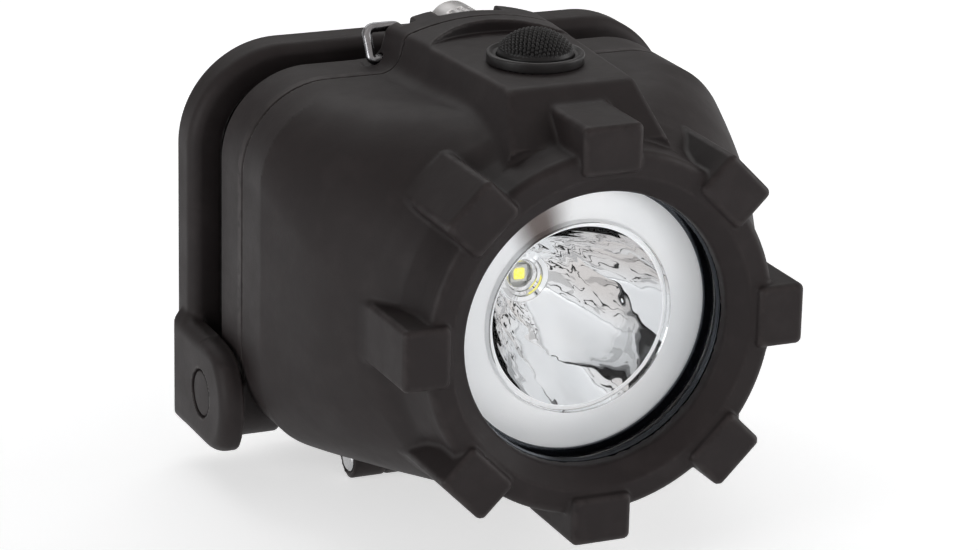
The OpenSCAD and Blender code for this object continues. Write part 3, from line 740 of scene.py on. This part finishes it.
def cover_field(x, y, z):
    ax = np.abs(x)
    d2 = rrect(ax, z - ZC, 32.2, 23.7, 11.5)
    body = rint(d2, y + 9.6, 2.6)
    hump = smax(smax(hump_flank(ax, y, z), hump_crown(x, z), 0.75), y + 13.2, 0.8)
    hump = np.maximum(hump, 18.0 - z)
    body = smin(body, hump, 2.2)
    # tilt bosses
    rt = np.sqrt((y - Y_TILT) ** 2 + (z - Z_TILT) ** 2)
    boss = np.maximum(rint(rt - 6.0, ax - 32.05, 0.35), 26.4 - ax)
    body = smin(body, boss, 0.5)
    body = smax(body, -19.0 - y, 0.22)
    # outer hinge knuckles
    kn = rint(np.sqrt((y - Y_PART) ** 2 + (z - Z_HINGE) ** 2) - R_KN, np.abs(ax - 15.2) - 2.3, 0.3)
    web = boxd(ax, y, z, 12.9, 17.5, -19.0, -15.2, -28.2, -21.8, 0.3)
    body = smin(body, smin(kn, web, 0.5), 0.5)
    # inside, with the bosses left solid
    cav = np.maximum(rrect(ax, z - ZC, 30.2, 21.7, 9.5), y + 11.4)
    cav = smax(cav, -np.maximum(rt - 6.0, 26.4 - ax), 0.3)
    groove = np.maximum(np.abs(d2 + 1.03) - 0.38, y + 17.9)
    pin = np.maximum(rt - 3.07, 27.7 - ax)
    spot = np.maximum(rt - 6.05, 32.05 - ax)
    hb = np.sqrt((y - Y_PART) ** 2 + (z - Z_HINGE) ** 2)
    hb = np.minimum(hb - 1.79, np.maximum(hb - 1.92, 17.3 - ax))
    notch = boxd(x, y, z, -4.4, 4.4, -16.3, -5.0, 23.0, 36.0, 0.35)
    rs = np.sqrt(x * x + (z - Z_SCREW) ** 2)
    shank = np.minimum(rs - 1.1, np.maximum(rs - 2.3, -17.2 - y))
    shank = np.maximum(shank, y + 15.0)
    # pivot hole of the lanyard loop and the slot for its inner leg
    eye = np.maximum(np.sqrt((y + 14.5) ** 2 + (z - 24.3) ** 2) - 0.72, np.abs(x + 11.5) - 2.6)
    eye = np.minimum(eye, boxd(x, y, z, -9.1, -7.3, -15.5, -5.0, 23.2, 36.0, 0.3))
    # relief that lets the loop's outer leg lie back
    lay = np.maximum(23.52, 24.3 + 0.255 * (y + 14.5) - 0.80) - z
    eye = np.minimum(eye, np.maximum(boxd(x, y, z, -13.85, -12.05, -15.4, -8.5, 22.0, 36.0, 0.3), lay))
    void = np.minimum(np.minimum(cav, groove), np.minimum(pin, hb))
    void = np.minimum(void, np.minimum(np.minimum(notch, shank), eye))
    return smax(smax(body, -void, 0.22), -spot, 0.05)


def bracket_field(x, y, z):
    ax = np.abs(x)
    d2 = rrect(ax, z + 0.1, 34.25, 25.0, 13.3)
    plate = rint(d2, -5.7 - y, 1.7)
    plate = rint(plate, y, 1.1)
    rec = rint(rrect(ax, z + 0.1, 29.75, 20.5, 8.8), -(y + 2.2) * -1.0 - 0.0, 0.6)
    plate = smax(plate, -rec, 0.9)
    slot = rrect(ax - 24.0, z + 0.1, 2.5, 13.5, 0.8)
    plate = smax(plate, -slot, 0.5)
    # ears: a round nose on a flat-backed block, with a flat top and bottom
    rt = np.sqrt((y - Y_TILT) ** 2 + (z - Z_TILT) ** 2)
    blk = rrect(y + 7.45, z + 18.325, 5.85, 7.325, 0.9)
    nose = rint(rt - 8.6, np.abs(z + 18.325) - 7.325, 2.2)
    out = np.minimum(nose, blk)
    ear = rint(out, ax - 35.7, 1.9)
    ear = smax(ear, 32.75 - ax, 0.3)
    web = boxd(ax, y, z, 26.5, 34.6, -5.6, -1.6, -25.5, -11.1, 0.9)
    body = smin(plate, web, 1.0)
    body = smin(body, ear, 1.1)
    pin = np.minimum(rt - 3.02, np.maximum(rt - 3.2, 35.2 - ax))
    return smax(body, -np.maximum(pin, 28.0 - ax), 0.12)


def latch_field(x, y, z):
    rz = z - Z_SCREW
    r = np.sqrt(x * x + rz * rz)
    th = np.arctan2(rz, x)
    head = rint(r - 3.4, y + 9.4, 0.7)
    head = rint(head, -16.1 - y, 0.25)
    n = 15
    tf = (th + math.pi / n) % (2 * math.pi / n) - math.pi / n
    flute = np.sqrt((r * np.cos(tf) - 3.62) ** 2 + (r * np.sin(tf)) ** 2) - 0.40
    head = smax(head, -np.maximum(flute, y + 13.3), 0.12)
    slotd = np.maximum(np.abs(rz) - 0.5, -11.0 - y)
    head = smax(head, -slotd, 0.12)
    shank = np.maximum(r - 1.0 + 0.06 * np.cos(y * 2 * math.pi / 0.5) * (y < -18.3), np.maximum(-23.2 - y, y + 15.5))
    return smin(head, shank, 0.2)


FX = steps(0.0, 36.2, 0.36, 0.55, [(0.0, 26.9)])
FY = steps(-60.4, -16.0, 0.34, 0.60, [(-59.7, -51.0), (-21.6, -16.0)])
FZ = steps(-31.0, 31.2, 0.34, 0.50, [(-31.0, -22.6), (20.5, 31.2)])
CX = steps(0.0, 33.4, 0.34, 0.52, [(7.0, 14.2), (25.5, 33.4), (0.0, 5.0)])
CY = steps(-22.3, -6.4, 0.26, 0.42, [(-20.0, -12.0)])
CZ = steps(-31.0, 31.0, 0.32, 0.50, [(-31.0, -12.0), (21.5, 31.0)])
BX = steps(0.0, 36.6, 0.26, 0.60, [(32.0, 36.6)])
BY = steps(-22.7, 0.9, 0.26, 0.42, [(-22.7, -8.0)])
BZ = steps(-26.6, 25.8, 0.26, 0.55, [(-26.6, -10.0)])


def insert(ax, lo, hi, fine):
    """Replace the grid lines between lo and hi by finer ones."""
    n = max(2, int(round((hi - lo) / (fine * 1.0))))
    return np.concatenate([ax[ax < lo - 0.08], np.linspace(lo, hi, n + 1), ax[ax > hi + 0.08]])


# the parting edges and the pin bores get closer lines
FY = insert(FY, -20.1, -18.9, 0.15)
CY = insert(CY, -19.3, -18.1, 0.15)
CX2 = np.concatenate([-CX[::-1], CX[1:]])

housing = moulded("front_housing_shell", front_field, FX, FY, FZ)
housing.data.materials.append(M["black_polymer"])
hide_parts("front_housing"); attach(housing, "front_head")

cover = moulded("rear_cover_shell", cover_field, CX2, CY, CZ, mirror=False)
cover.data.materials.append(M["black_polymer"])
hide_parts("rear_cover"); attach(cover, "rear_case")

bracket = moulded("bracket_plate_shell", bracket_field, BX, BY, BZ)
bracket.data.materials.append(M["black_polymer"])
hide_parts("bracket_plate"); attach(bracket, "bracket")

LX = np.arange(-4.05, 4.06, 0.115)
LY = np.arange(-23.6, -8.9, 0.115)
latch = moulded("latch_screw_turned", latch_field, LX, LY, LX + Z_SCREW, mirror=False, limit=0.1)
latch.data.materials.append(M["steel_turned"])
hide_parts("latch_screw"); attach(latch, "latch")

# ------------------------------------------------------------------ turned and moulded small parts

# tilt pins: flush heads with a broken edge, in the ears' bores
parts = []
for s in (-1, 1):
    prof = arc_profile([(0, 28.1, 0), (2.55, 28.1, 0.1), (2.98, 28.6, 0.1), (2.98, 35.55, 0.28), (0, 35.5, 0)])
    v, f, m = lathe_mesh([(prof, 0)], 64, lambda P, s=s: np.stack([s * P[:, 2], P[:, 0] + Y_TILT, s * P[:, 1] + Z_TILT], 1))
    vol = sum(float(np.dot(v[q[0]], np.cross(v[q[1]], v[q[2]]))) for q in f[:0])
    parts.append((v, f, m))
V, Fc, Mi = join(parts)
pins = mesh_object("tilt_pins_turned", V, Fc, [M["black_polymer"]], Mi)
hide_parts("tilt_pins"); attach(pins, "bracket")

# switch ring: a shallow dish round the button
prof = arc_profile([
    (4.86, 26.62, 0.05), (5.62, 26.62, 0.05), (5.62, 28.66, 0.0), (6.08, 28.66, 0.08), (6.12, 29.85, 0.22),
    (5.72, 29.98, 0.12), (5.30, 29.62, 0.25), (4.86, 29.55, 0.10)], closed=True, n=5)
v, f, m = lathe_mesh([(prof, 0)], 128, along_z(0, Y_BTN), closed=True)
ring = mesh_object("switch_ring_turned", v, f, [M["ring_polymer"]], m)
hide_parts("switch_ring"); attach(ring, "front_head")


def button_mesh():
    """Domed rubber cap covered in small round pimples on a hexagonal pitch."""
    nr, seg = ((64, 300))
    pitch, rb, hb = 0.62, 0.290, 0.30
    cz, R, r_out = 27.0, 5.6, 4.78
    rr = np.linspace(0, r_out, nr + 1)[1:]
    an = np.arange(seg) * 2 * math.pi / seg
    X = rr[:, None] * np.cos(an)
    Y = rr[:, None] * np.sin(an)
    Z = np.sqrt(R * R - (X**2 + Y**2)) + cz
    # nearest point of the hexagonal lattice
    best = np.full(X.shape, 1e9)
    h = pitch * math.sqrt(3) / 2
    # the lattice is laid out on the unrolled dome, so that the pitch holds on its sides
    rad = np.sqrt(X**2 + Y**2)
    arc = R * np.arcsin(np.clip(rad / R, 0, 1))
    U, W = X / rad * arc, Y / rad * arc
    for dj in (-1, 0, 1):
        j = np.round(W / h) + dj
        off = (j % 2) * pitch / 2
        i = np.round((U - off) / pitch)
        for di in (-1, 0, 1):
            best = np.minimum(best, np.hypot(U - off - (i + di) * pitch, W - j * h))
    t = np.clip(1 - best / rb, 0, 1)
    d = hb * np.sqrt(np.clip(1 - (1 - t) ** 2, 0, 1))
    edge = np.clip((5.05 - arc) / 0.25, 0, 1) if False else np.clip((r_out - 0.22 - rad) / 0.12, 0, 1)
    d = d * edge
    N = np.stack([X / R, Y / R, (Z - cz) / R], -1)
    P = np.stack([X, Y, Z], -1) + N * d[..., None]
    V = [(0, 0, cz + R + hb * 0.9)]
    V += [tuple(p) for p in P.reshape(-1, 3)]
    prof = [(4.8, 29.72), (4.8, 26.6), (4.84, 26.5), (5.5, 26.5), (5.6, 26.4), (5.6, 25.5), (5.5, 25.4), (0, 25.4)]
    Fc = []
    def ringi(k):
        return 1 + k * seg
    for k in range(seg):
        Fc.append((0, 1 + k, 1 + (k + 1) % seg))
    for q in range(nr - 1):
        for k in range(seg):
            k2 = (k + 1) % seg
            Fc.append((ringi(q) + k, ringi(q + 1) + k, ringi(q + 1) + k2, ringi(q) + k2))
    last = ringi(nr - 1)
    for r, z in prof:
        if r == 0:
            V.append((0, 0, z))
            c = len(V) - 1
            for k in range(seg):
                Fc.append((last + k, c, last + (k + 1) % seg))
            break
        base = len(V)
        V += list(zip((r * np.cos(an)).tolist(), (r * np.sin(an)).tolist(), [z] * seg))
        for k in range(seg):
            k2 = (k + 1) % seg
            Fc.append((last + k, base + k, base + k2, last + k2))
        last = base
    V = np.array(V) + np.array([0, Y_BTN, 0])
    return V, Fc


V, Fc = button_mesh()
button = mesh_object("push_button_cap", V, Fc, [M["button_rubber"]], sharp=55)
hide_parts("push_button"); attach(button, "button")

# reflector: metallised flange, a bright bead round the mouth, the bowl, and steps round the light source
D0, RM = 17.6, 11.5


def bowl(r, off=0.0):
    return -50.7 + D0 * (1 - (r / RM) ** 2) + off


flange = arc_profile([(RM + 0.16, -50.70, 0), (18.6, -50.70, 0.0), (19.0, -50.55, 0.1), (19.0, -49.5, 0.0)], n=4)
bead = [(RM + 0.16 - 0.16 * s, -50.70 - 0.012 * math.sin(math.pi * s)) for s in np.linspace(0, 1, 7)]
bowl_pts = [(r, bowl(r)) for r in np.linspace(RM, 3.30, 70)]
steps_pts = [(3.30, bowl(3.3)), (3.22, bowl(3.3) + 0.02), (3.12, bowl(3.3) - 0.16), (2.62, bowl(3.3) - 0.05), (2.55, bowl(3.3) + 0.10), (2.46, bowl(2.9) + 0.12), (2.15, bowl(2.6) + 0.02), (2.05, bowl(2.5) + 0.16), (1.78, bowl(2.1) + 0.10), (1.70, bowl(2.1) + 0.22), (1.70, -32.8)]
back = [(3.4, -32.8), (3.6, bowl(3.6) + 1.2)] + [(r, min(-32.8, bowl(r) + 1.25)) for r in np.linspace(4.0, 12.2, 24)] + [(12.9, -49.5), (19.0, -49.5)]
segs = [
    (flange[::-1], 1),
    (bead, 0),
    (bowl_pts, 0),
    (steps_pts, 0),
    ([(1.70, -32.8)] + back, 0),
]
v, f, m = lathe_mesh(segs, 180, along_y)
refl = mesh_object("reflector_bowl", v, f, [M["mirror_chrome"], M["mirror_flange"]], m, sharp=28)
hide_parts("reflector"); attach(refl, "front_head")

# lens: a disc with broken edges
prof = arc_profile([(0, -53.6, 0), (18.2, -53.6, 0.3), (18.2, -51.4, 0.3), (0, -51.4, 0)], n=4)
v, f, m = lathe_mesh([(prof, 0)], 160, along_y)
lens = mesh_object("lens_disc", v, f, [M["lens_clear"]], m)
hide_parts("lens"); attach(lens, "front_head")

# lens seal: a grooved ring with two sealing beads towards the beam
prof = arc_profile([
    (19.1, -54.5, 0.15), (19.1, -50.8, 0.15), (16.95, -50.8, 0.2), (16.95, -51.3, 0.1), (18.22, -51.36, 0.0),
    (18.22, -53.64, 0.0), (17.35, -53.66, 0.1), (17.25, -53.95, 0.1), (17.55, -54.15, 0.1), (17.3, -54.5, 0.12)], closed=True, n=4)
v, f, m = lathe_mesh([(prof, 0)], 160, along_y, closed=True)
seal = mesh_object("lens_seal_ring", v, f, [M["seal_rubber"]], m)
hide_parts("lens_seal"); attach(seal, "front_head")


def led_mesh():
    """Ceramic package with a square phosphor field under a low clear dome outline."""
    parts = []
    def slabm(hx, y0, y1, mi, bev):
        ring = []
        for (h, y) in ((hx, y1), (hx, y0 + bev), (hx - bev, y0)):
            ring.append([(-h, y, -h), (h, y, -h), (h, y, h), (-h, y, h)])
        V = [p for r in ring for p in r]
        Fc = []
        for a in range(2):
            for k in range(4):
                k2 = (k + 1) % 4
                Fc.append((a * 4 + k, a * 4 + k2, a * 4 + 4 + k2, a * 4 + 4 + k))
        Fc.append((8, 9, 10, 11))
        Fc.append((3, 2, 1, 0))
        return np.array(V, float), Fc, [mi] * len(Fc)
    parts.append(slabm(1.15, -33.0, -32.6, 0, 0.08))
    parts.append(slabm(0.72, -33.14, -33.0, 1, 0.05))
    prof = arc_profile([(1.02, -33.0, 0), (1.02, -33.12, 0.04), (0.90, -33.12, 0.04), (0.90, -33.0, 0)], n=3)
    v, f, m = lathe_mesh([(prof, 0)], 48, along_y)
    parts.append((v, f, m))
    return join(parts)


V, Fc, Mi = led_mesh()
led = mesh_object("led_emitter_package", V, Fc, [M["led_ceramic"], M["led_phosphor"]], Mi)
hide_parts("led_emitter"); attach(led, "front_head")


def loop_path():
    """Round wire loop, open at its pivot: both ends turn in towards each other."""
    L, a, x0, x1, rc, rp = 4.3, math.radians(59.3), -12.95, -8.2, 1.15, 0.55
    c0 = np.array([0, -14.5, 24.3])
    dirv = np.array([0, math.cos(a), math.sin(a)])
    ux = np.array([1.0, 0, 0])

    def leg(x, s, stub):
        pts = [c0 + ux * stub, c0 + ux * (x + s * rp)]
        for t in np.linspace(0, math.pi / 2, 7)[1:]:
            pts.append(c0 + ux * (x + s * rp - s * rp * math.sin(t)) + dirv * (rp - rp * math.cos(t)))
        pts.append(c0 + ux * x + dirv * (L - rc))
        for t in np.linspace(0, math.pi / 2, 9)[1:]:
            pts.append(c0 + ux * (x + s * rc - s * rc * math.cos(t)) + dirv * (L - rc + rc * math.sin(t)))
        return pts

    full = leg(x0, 1, -10.65) + leg(x1, -1, -10.05)[::-1]
    out = []
    for i in range(len(full) - 1):
        n = max(1, int(np.linalg.norm(full[i + 1] - full[i]) / 0.8))
        for k in range(n):
            out.append(full[i] + (full[i + 1] - full[i]) * k / n)
    out.append(full[-1])
    return out


v, f = sweep(loop_path(), 0.64, 24)
loop = mesh_object("lanyard_loop_bent", v, f, [M["dark_wire"]], sharp=60)
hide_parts("lanyard_loop"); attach(loop, "lanyard")

# cells: sleeved cans with a crimped shoulder and a positive nub, in two plain colours and with no print
cells = []
for k in (-1, 0, 1):
    s = -1 if k == 0 else 1
    x0, x1 = 23.45 - 44.5, 22.6
    can0 = arc_profile([(0, x0 + 0.25, 0), (3.9, x0 + 0.25, 0.1), (4.1, x0, 0.1), (4.95, x0, 0.3), (5.2, x0 + 0.5, 0.2)], n=3)
    slv0 = [(5.2, x0 + 0.5), (5.25, x0 + 0.7), (5.25, 8.0)]
    slv1 = [(5.25, 8.0), (5.25, 8.01), (5.25, x1 - 0.9)]
    slv2 = arc_profile([(5.25, x1 - 0.9, 0), (5.2, x1 - 0.25, 0.4), (4.5, x1 - 0.02, 0.15), (4.3, x1 - 0.3, 0)], n=4)
    can1 = arc_profile([(4.3, x1 - 0.3, 0), (2.2, x1 - 0.35, 0.1), (1.9, x1 - 0.1, 0.1), (1.9, 23.40, 0.2), (0, 23.44, 0)], n=4)
    v, f, m = lathe_mesh([(can0, 2), (slv0, 1), (slv1, 0), (slv2, 0), (can1, 2)], 72, lambda P, s=s, k=k: np.stack([s * P[:, 2], P[:, 0] - 17.3, s * P[:, 1] + ZC + k * 11.1], 1))
    cells.append((v, f, m))
V, Fc, Mi = join(cells)
cellm = mesh_object("battery_cells_sleeved", V, Fc, [M["cell_jacket"], M["cell_band"], M["steel"]], Mi)
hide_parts("battery_cells"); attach(cellm, "rear_case")

# ------------------------------------------------------------------ finishes of the CAD parts that stay

FINISH = {
    "friction_washers": "steel", "case_gasket": "seal_rubber", "hinge_pin": "steel", "screw_seal": "seal_rubber",
    "battery_tray": "tray_polymer", "contact_springs": "spring_steel", "contact_plates": "plated_contact",
    "screw_clip": "spring_steel", "reflector_retainer": "tray_polymer", "led_board": "board_white",
    "led_board_screws": "steel", "heat_sink": "heat_sink_aluminium", "driver_board": "board_green",
    "driver_components": "component_black", "driver_screws": "steel", "board_spacers": "heat_sink_aluminium",
    "led_leads": "lead_red", "switch_leads": "lead_black", "switch_board": "board_green",
    "tactile_switch": "component_black", "switch_screws": "steel", "button_spring": "spring_steel",
    "thread_insert": "insert_brass", "inner_cover": "tray_polymer", "inner_cover_screws": "steel",
    "leaf_contacts": "plated_contact",
}
for name, slot in FINISH.items():
    ob = NODES[name]
    if len(ob.data.materials) == 0:
        ob.data.materials.append(M[slot])
    for i in range(len(ob.material_slots)):
        ob.material_slots[i].link = "OBJECT"
        ob.material_slots[i].material = M[slot]

# ------------------------------------------------------------------ stage, light, camera

scene = bpy.context.scene
if scene.world is None:
    scene.world = bpy.data.worlds.new("studio")
world = scene.world
world.use_nodes = True
wt = world.node_tree
wt.nodes.clear()
wo = wt.nodes.new("ShaderNodeOutputWorld")
bg_cam = wt.nodes.new("ShaderNodeBackground")
bg_cam.inputs[0].default_value = (1, 1, 1, 1)
bg_cam.inputs[1].default_value = 1.0
bg_light = wt.nodes.new("ShaderNodeBackground")
bg_light.inputs[1].default_value = 0.26
tc = wt.nodes.new("ShaderNodeTexCoord")
sep = wt.nodes.new("ShaderNodeSeparateXYZ")
wt.links.new(tc.outputs["Generated"], sep.inputs[0])
grad = wt.nodes.new("ShaderNodeValToRGB")
grad.color_ramp.elements[0].position = 0.35
grad.color_ramp.elements[0].color = (0.80, 0.80, 0.80, 1)
grad.color_ramp.elements[1].position = 0.75
grad.color_ramp.elements[1].color = (0.34, 0.34, 0.355, 1)
mr = wt.nodes.new("ShaderNodeMapRange")
mr.inputs["From Min"].default_value = -1.0
wt.links.new(sep.outputs["Z"], mr.inputs["Value"])
wt.links.new(mr.outputs[0], grad.inputs[0])
wt.links.new(grad.outputs[0], bg_light.inputs[0])
lp = wt.nodes.new("ShaderNodeLightPath")
bg_room = wt.nodes.new("ShaderNodeBackground")
bg_room.inputs[1].default_value = 1.30
room = wt.nodes.new("ShaderNodeValToRGB")
room.color_ramp.elements[0].position = 0.35
room.color_ramp.elements[0].color = (0.86, 0.87, 0.88, 1)
room.color_ramp.elements[1].position = 0.80
room.color_ramp.elements[1].color = (0.62, 0.585, 0.565, 1)
wt.links.new(mr.outputs[0], room.inputs[0])


def wmath(op, a, b):
    nd = wt.nodes.new("ShaderNodeMath")
    nd.operation = op
    for k, src in enumerate((a, b)):
        if src is None:
            continue
        if isinstance(src, (int, float)):
            nd.inputs[k].default_value = src
        else:
            wt.links.new(src, nd.inputs[k])
    return nd.outputs[0]


def wramp(src, lo, hi, a, b):
    nd = wt.nodes.new("ShaderNodeMapRange")
    nd.interpolation_type = "SMOOTHSTEP"
    for key, val in (("From Min", lo), ("From Max", hi), ("To Min", a), ("To Max", b)):
        nd.inputs[key].default_value = val
    wt.links.new(src, nd.inputs["Value"])
    return nd.outputs["Result"]


def wnoise(scale, detail, dist):
    nd = wt.nodes.new("ShaderNodeTexNoise")
    nd.inputs["Scale"].default_value = scale
    nd.inputs["Detail"].default_value = detail
    nd.inputs["Distortion"].default_value = dist
    wt.links.new(tc.outputs["Generated"], nd.inputs["Vector"])
    return nd.outputs["Fac"]


# darker behind the lamp; in front, thin dark seams and pale grey panels for the mirror to catch
behind = wramp(sep.outputs["Y"], -0.10, 0.35, 1.0, 0.42)
seam = wramp(wmath("ABSOLUTE", wmath("SUBTRACT", wnoise(5.2, 1.2, 0.5), 0.5), None), 0.012, 0.026, 0.03, 1.0)
broken = wramp(wnoise(3.4, 1.0, 0.0), 0.50, 0.58, 0.0, 1.0)
seam = wmath("MAXIMUM", seam, broken)
panel = wramp(wnoise(4.0, 0.5, 0.6), 0.58, 0.60, 1.0, 0.70)
fac = wmath("MULTIPLY", wmath("MULTIPLY", behind, seam), panel)
shade = wt.nodes.new("ShaderNodeVectorMath")
shade.operation = "SCALE"
wt.links.new(room.outputs[0], shade.inputs[0])
wt.links.new(fac, shade.inputs["Scale"])
wt.links.new(shade.outputs[0], bg_room.inputs[0])
mixg = wt.nodes.new("ShaderNodeMixShader")
wt.links.new(lp.outputs["Is Glossy Ray"], mixg.inputs[0])
wt.links.new(bg_light.outputs[0], mixg.inputs[1])
wt.links.new(bg_room.outputs[0], mixg.inputs[2])
mixw = wt.nodes.new("ShaderNodeMixShader")
wt.links.new(lp.outputs["Is Camera Ray"], mixw.inputs[0])
wt.links.new(mixg.outputs[0], mixw.inputs[1])
wt.links.new(bg_cam.outputs[0], mixw.inputs[2])
wt.links.new(mixw.outputs[0], wo.inputs[0])

me = bpy.data.meshes.new("floor")
n, R = 96, 6.0
fv = [(0.0, 0.0, 0.0)] + [(R * math.cos(2 * math.pi * k / n), R * math.sin(2 * math.pi * k / n), 0.0) for k in range(n)]
me.from_pydata(fv, [], [(0, 1 + k, 1 + (k + 1) % n) for k in range(n)])
floor = bpy.data.objects.new("floor", me)
floor.location = (0, 0, -0.03045)
scene.collection.objects.link(floor)
tf = Tree("floor_paper")
pf = tf.principled(tf.mix(tf.noise(9.0, 3.0), (0.90, 0.90, 0.90), (0.93, 0.93, 0.93)), 0.75, tf.bump(tf.noise(800.0, 2.0), 2e-5, 0.3), Specular_IOR_Level=0.2)
seen = tf.n("ShaderNodeLightPath")
tf.link(tf.math("ADD", tf.math("MULTIPLY", seen.outputs["Is Camera Ray"], 0.10), 0.48), pf.inputs["Emission Strength"])
pf.inputs["Emission Color"].default_value = (1, 1, 1, 1)
floor.data.materials.append(tf.finish(pf.outputs[0]))


def area(name, loc, target, sx, sy, power, col=(1, 1, 1)):
    ld = bpy.data.lights.new(name, "AREA")
    ld.shape = "RECTANGLE"
    ld.size, ld.size_y = sx, sy
    ld.energy = power
    ld.color = col
    ob = bpy.data.objects.new(name, ld)
    ob.location = loc
    d = Vector(target) - Vector(loc)
    ob.rotation_euler = d.to_track_quat("-Z", "Y").to_euler()
    scene.collection.objects.link(ob)
    return ob


area("key_left", (-0.60, -0.14, 0.02), (0, -0.03, 0), 0.30, 0.50, 2.0)
area("fill_front", (0.16, -0.75, 0.04), (0, -0.05, 0), 0.55, 0.35, 2.3).visible_glossy = False
area("rim_back", (0.05, 0.42, 0.48), (0, -0.03, 0.01), 0.7, 0.30, 1.2)
area("side_right", (0.55, -0.15, 0.20), (0, -0.03, 0), 0.35, 0.45, 1.2)
area("floor_wash", (0.0, 0.1, 1.2), (0, 0.1, -0.03), 1.6, 1.6, 1.5)

az, el, roll = map(math.radians, (-24.19, 18.41, 1.33))
back = np.array([math.sin(az) * math.cos(el), -math.cos(az) * math.cos(el), math.sin(el)])
right = np.array([math.cos(az), math.sin(az), 0.0])
up = np.cross(back, right)
r2 = math.cos(roll) * right + math.sin(roll) * up
u2 = -math.sin(roll) * right + math.cos(roll) * up
cd = bpy.data.cameras.new("camera")
cd.sensor_width = 36.0
cd.lens = 3795.0 * 36.0 / 978.0
cd.clip_start, cd.clip_end = 0.01, 30.0
cam = bpy.data.objects.new("camera", cd)
pos = (-14.46 * r2 + 7.68 * u2 + 457.4 * back) * MM + np.array([0, -59.5 * MM, 0])
cam.matrix_world = Matrix(((r2[0], u2[0], back[0], pos[0]), (r2[1], u2[1], back[1], pos[1]), (r2[2], u2[2], back[2], pos[2]), (0, 0, 0, 1)))
scene.collection.objects.link(cam)
scene.camera = cam
scene.view_settings.view_transform = "Standard"
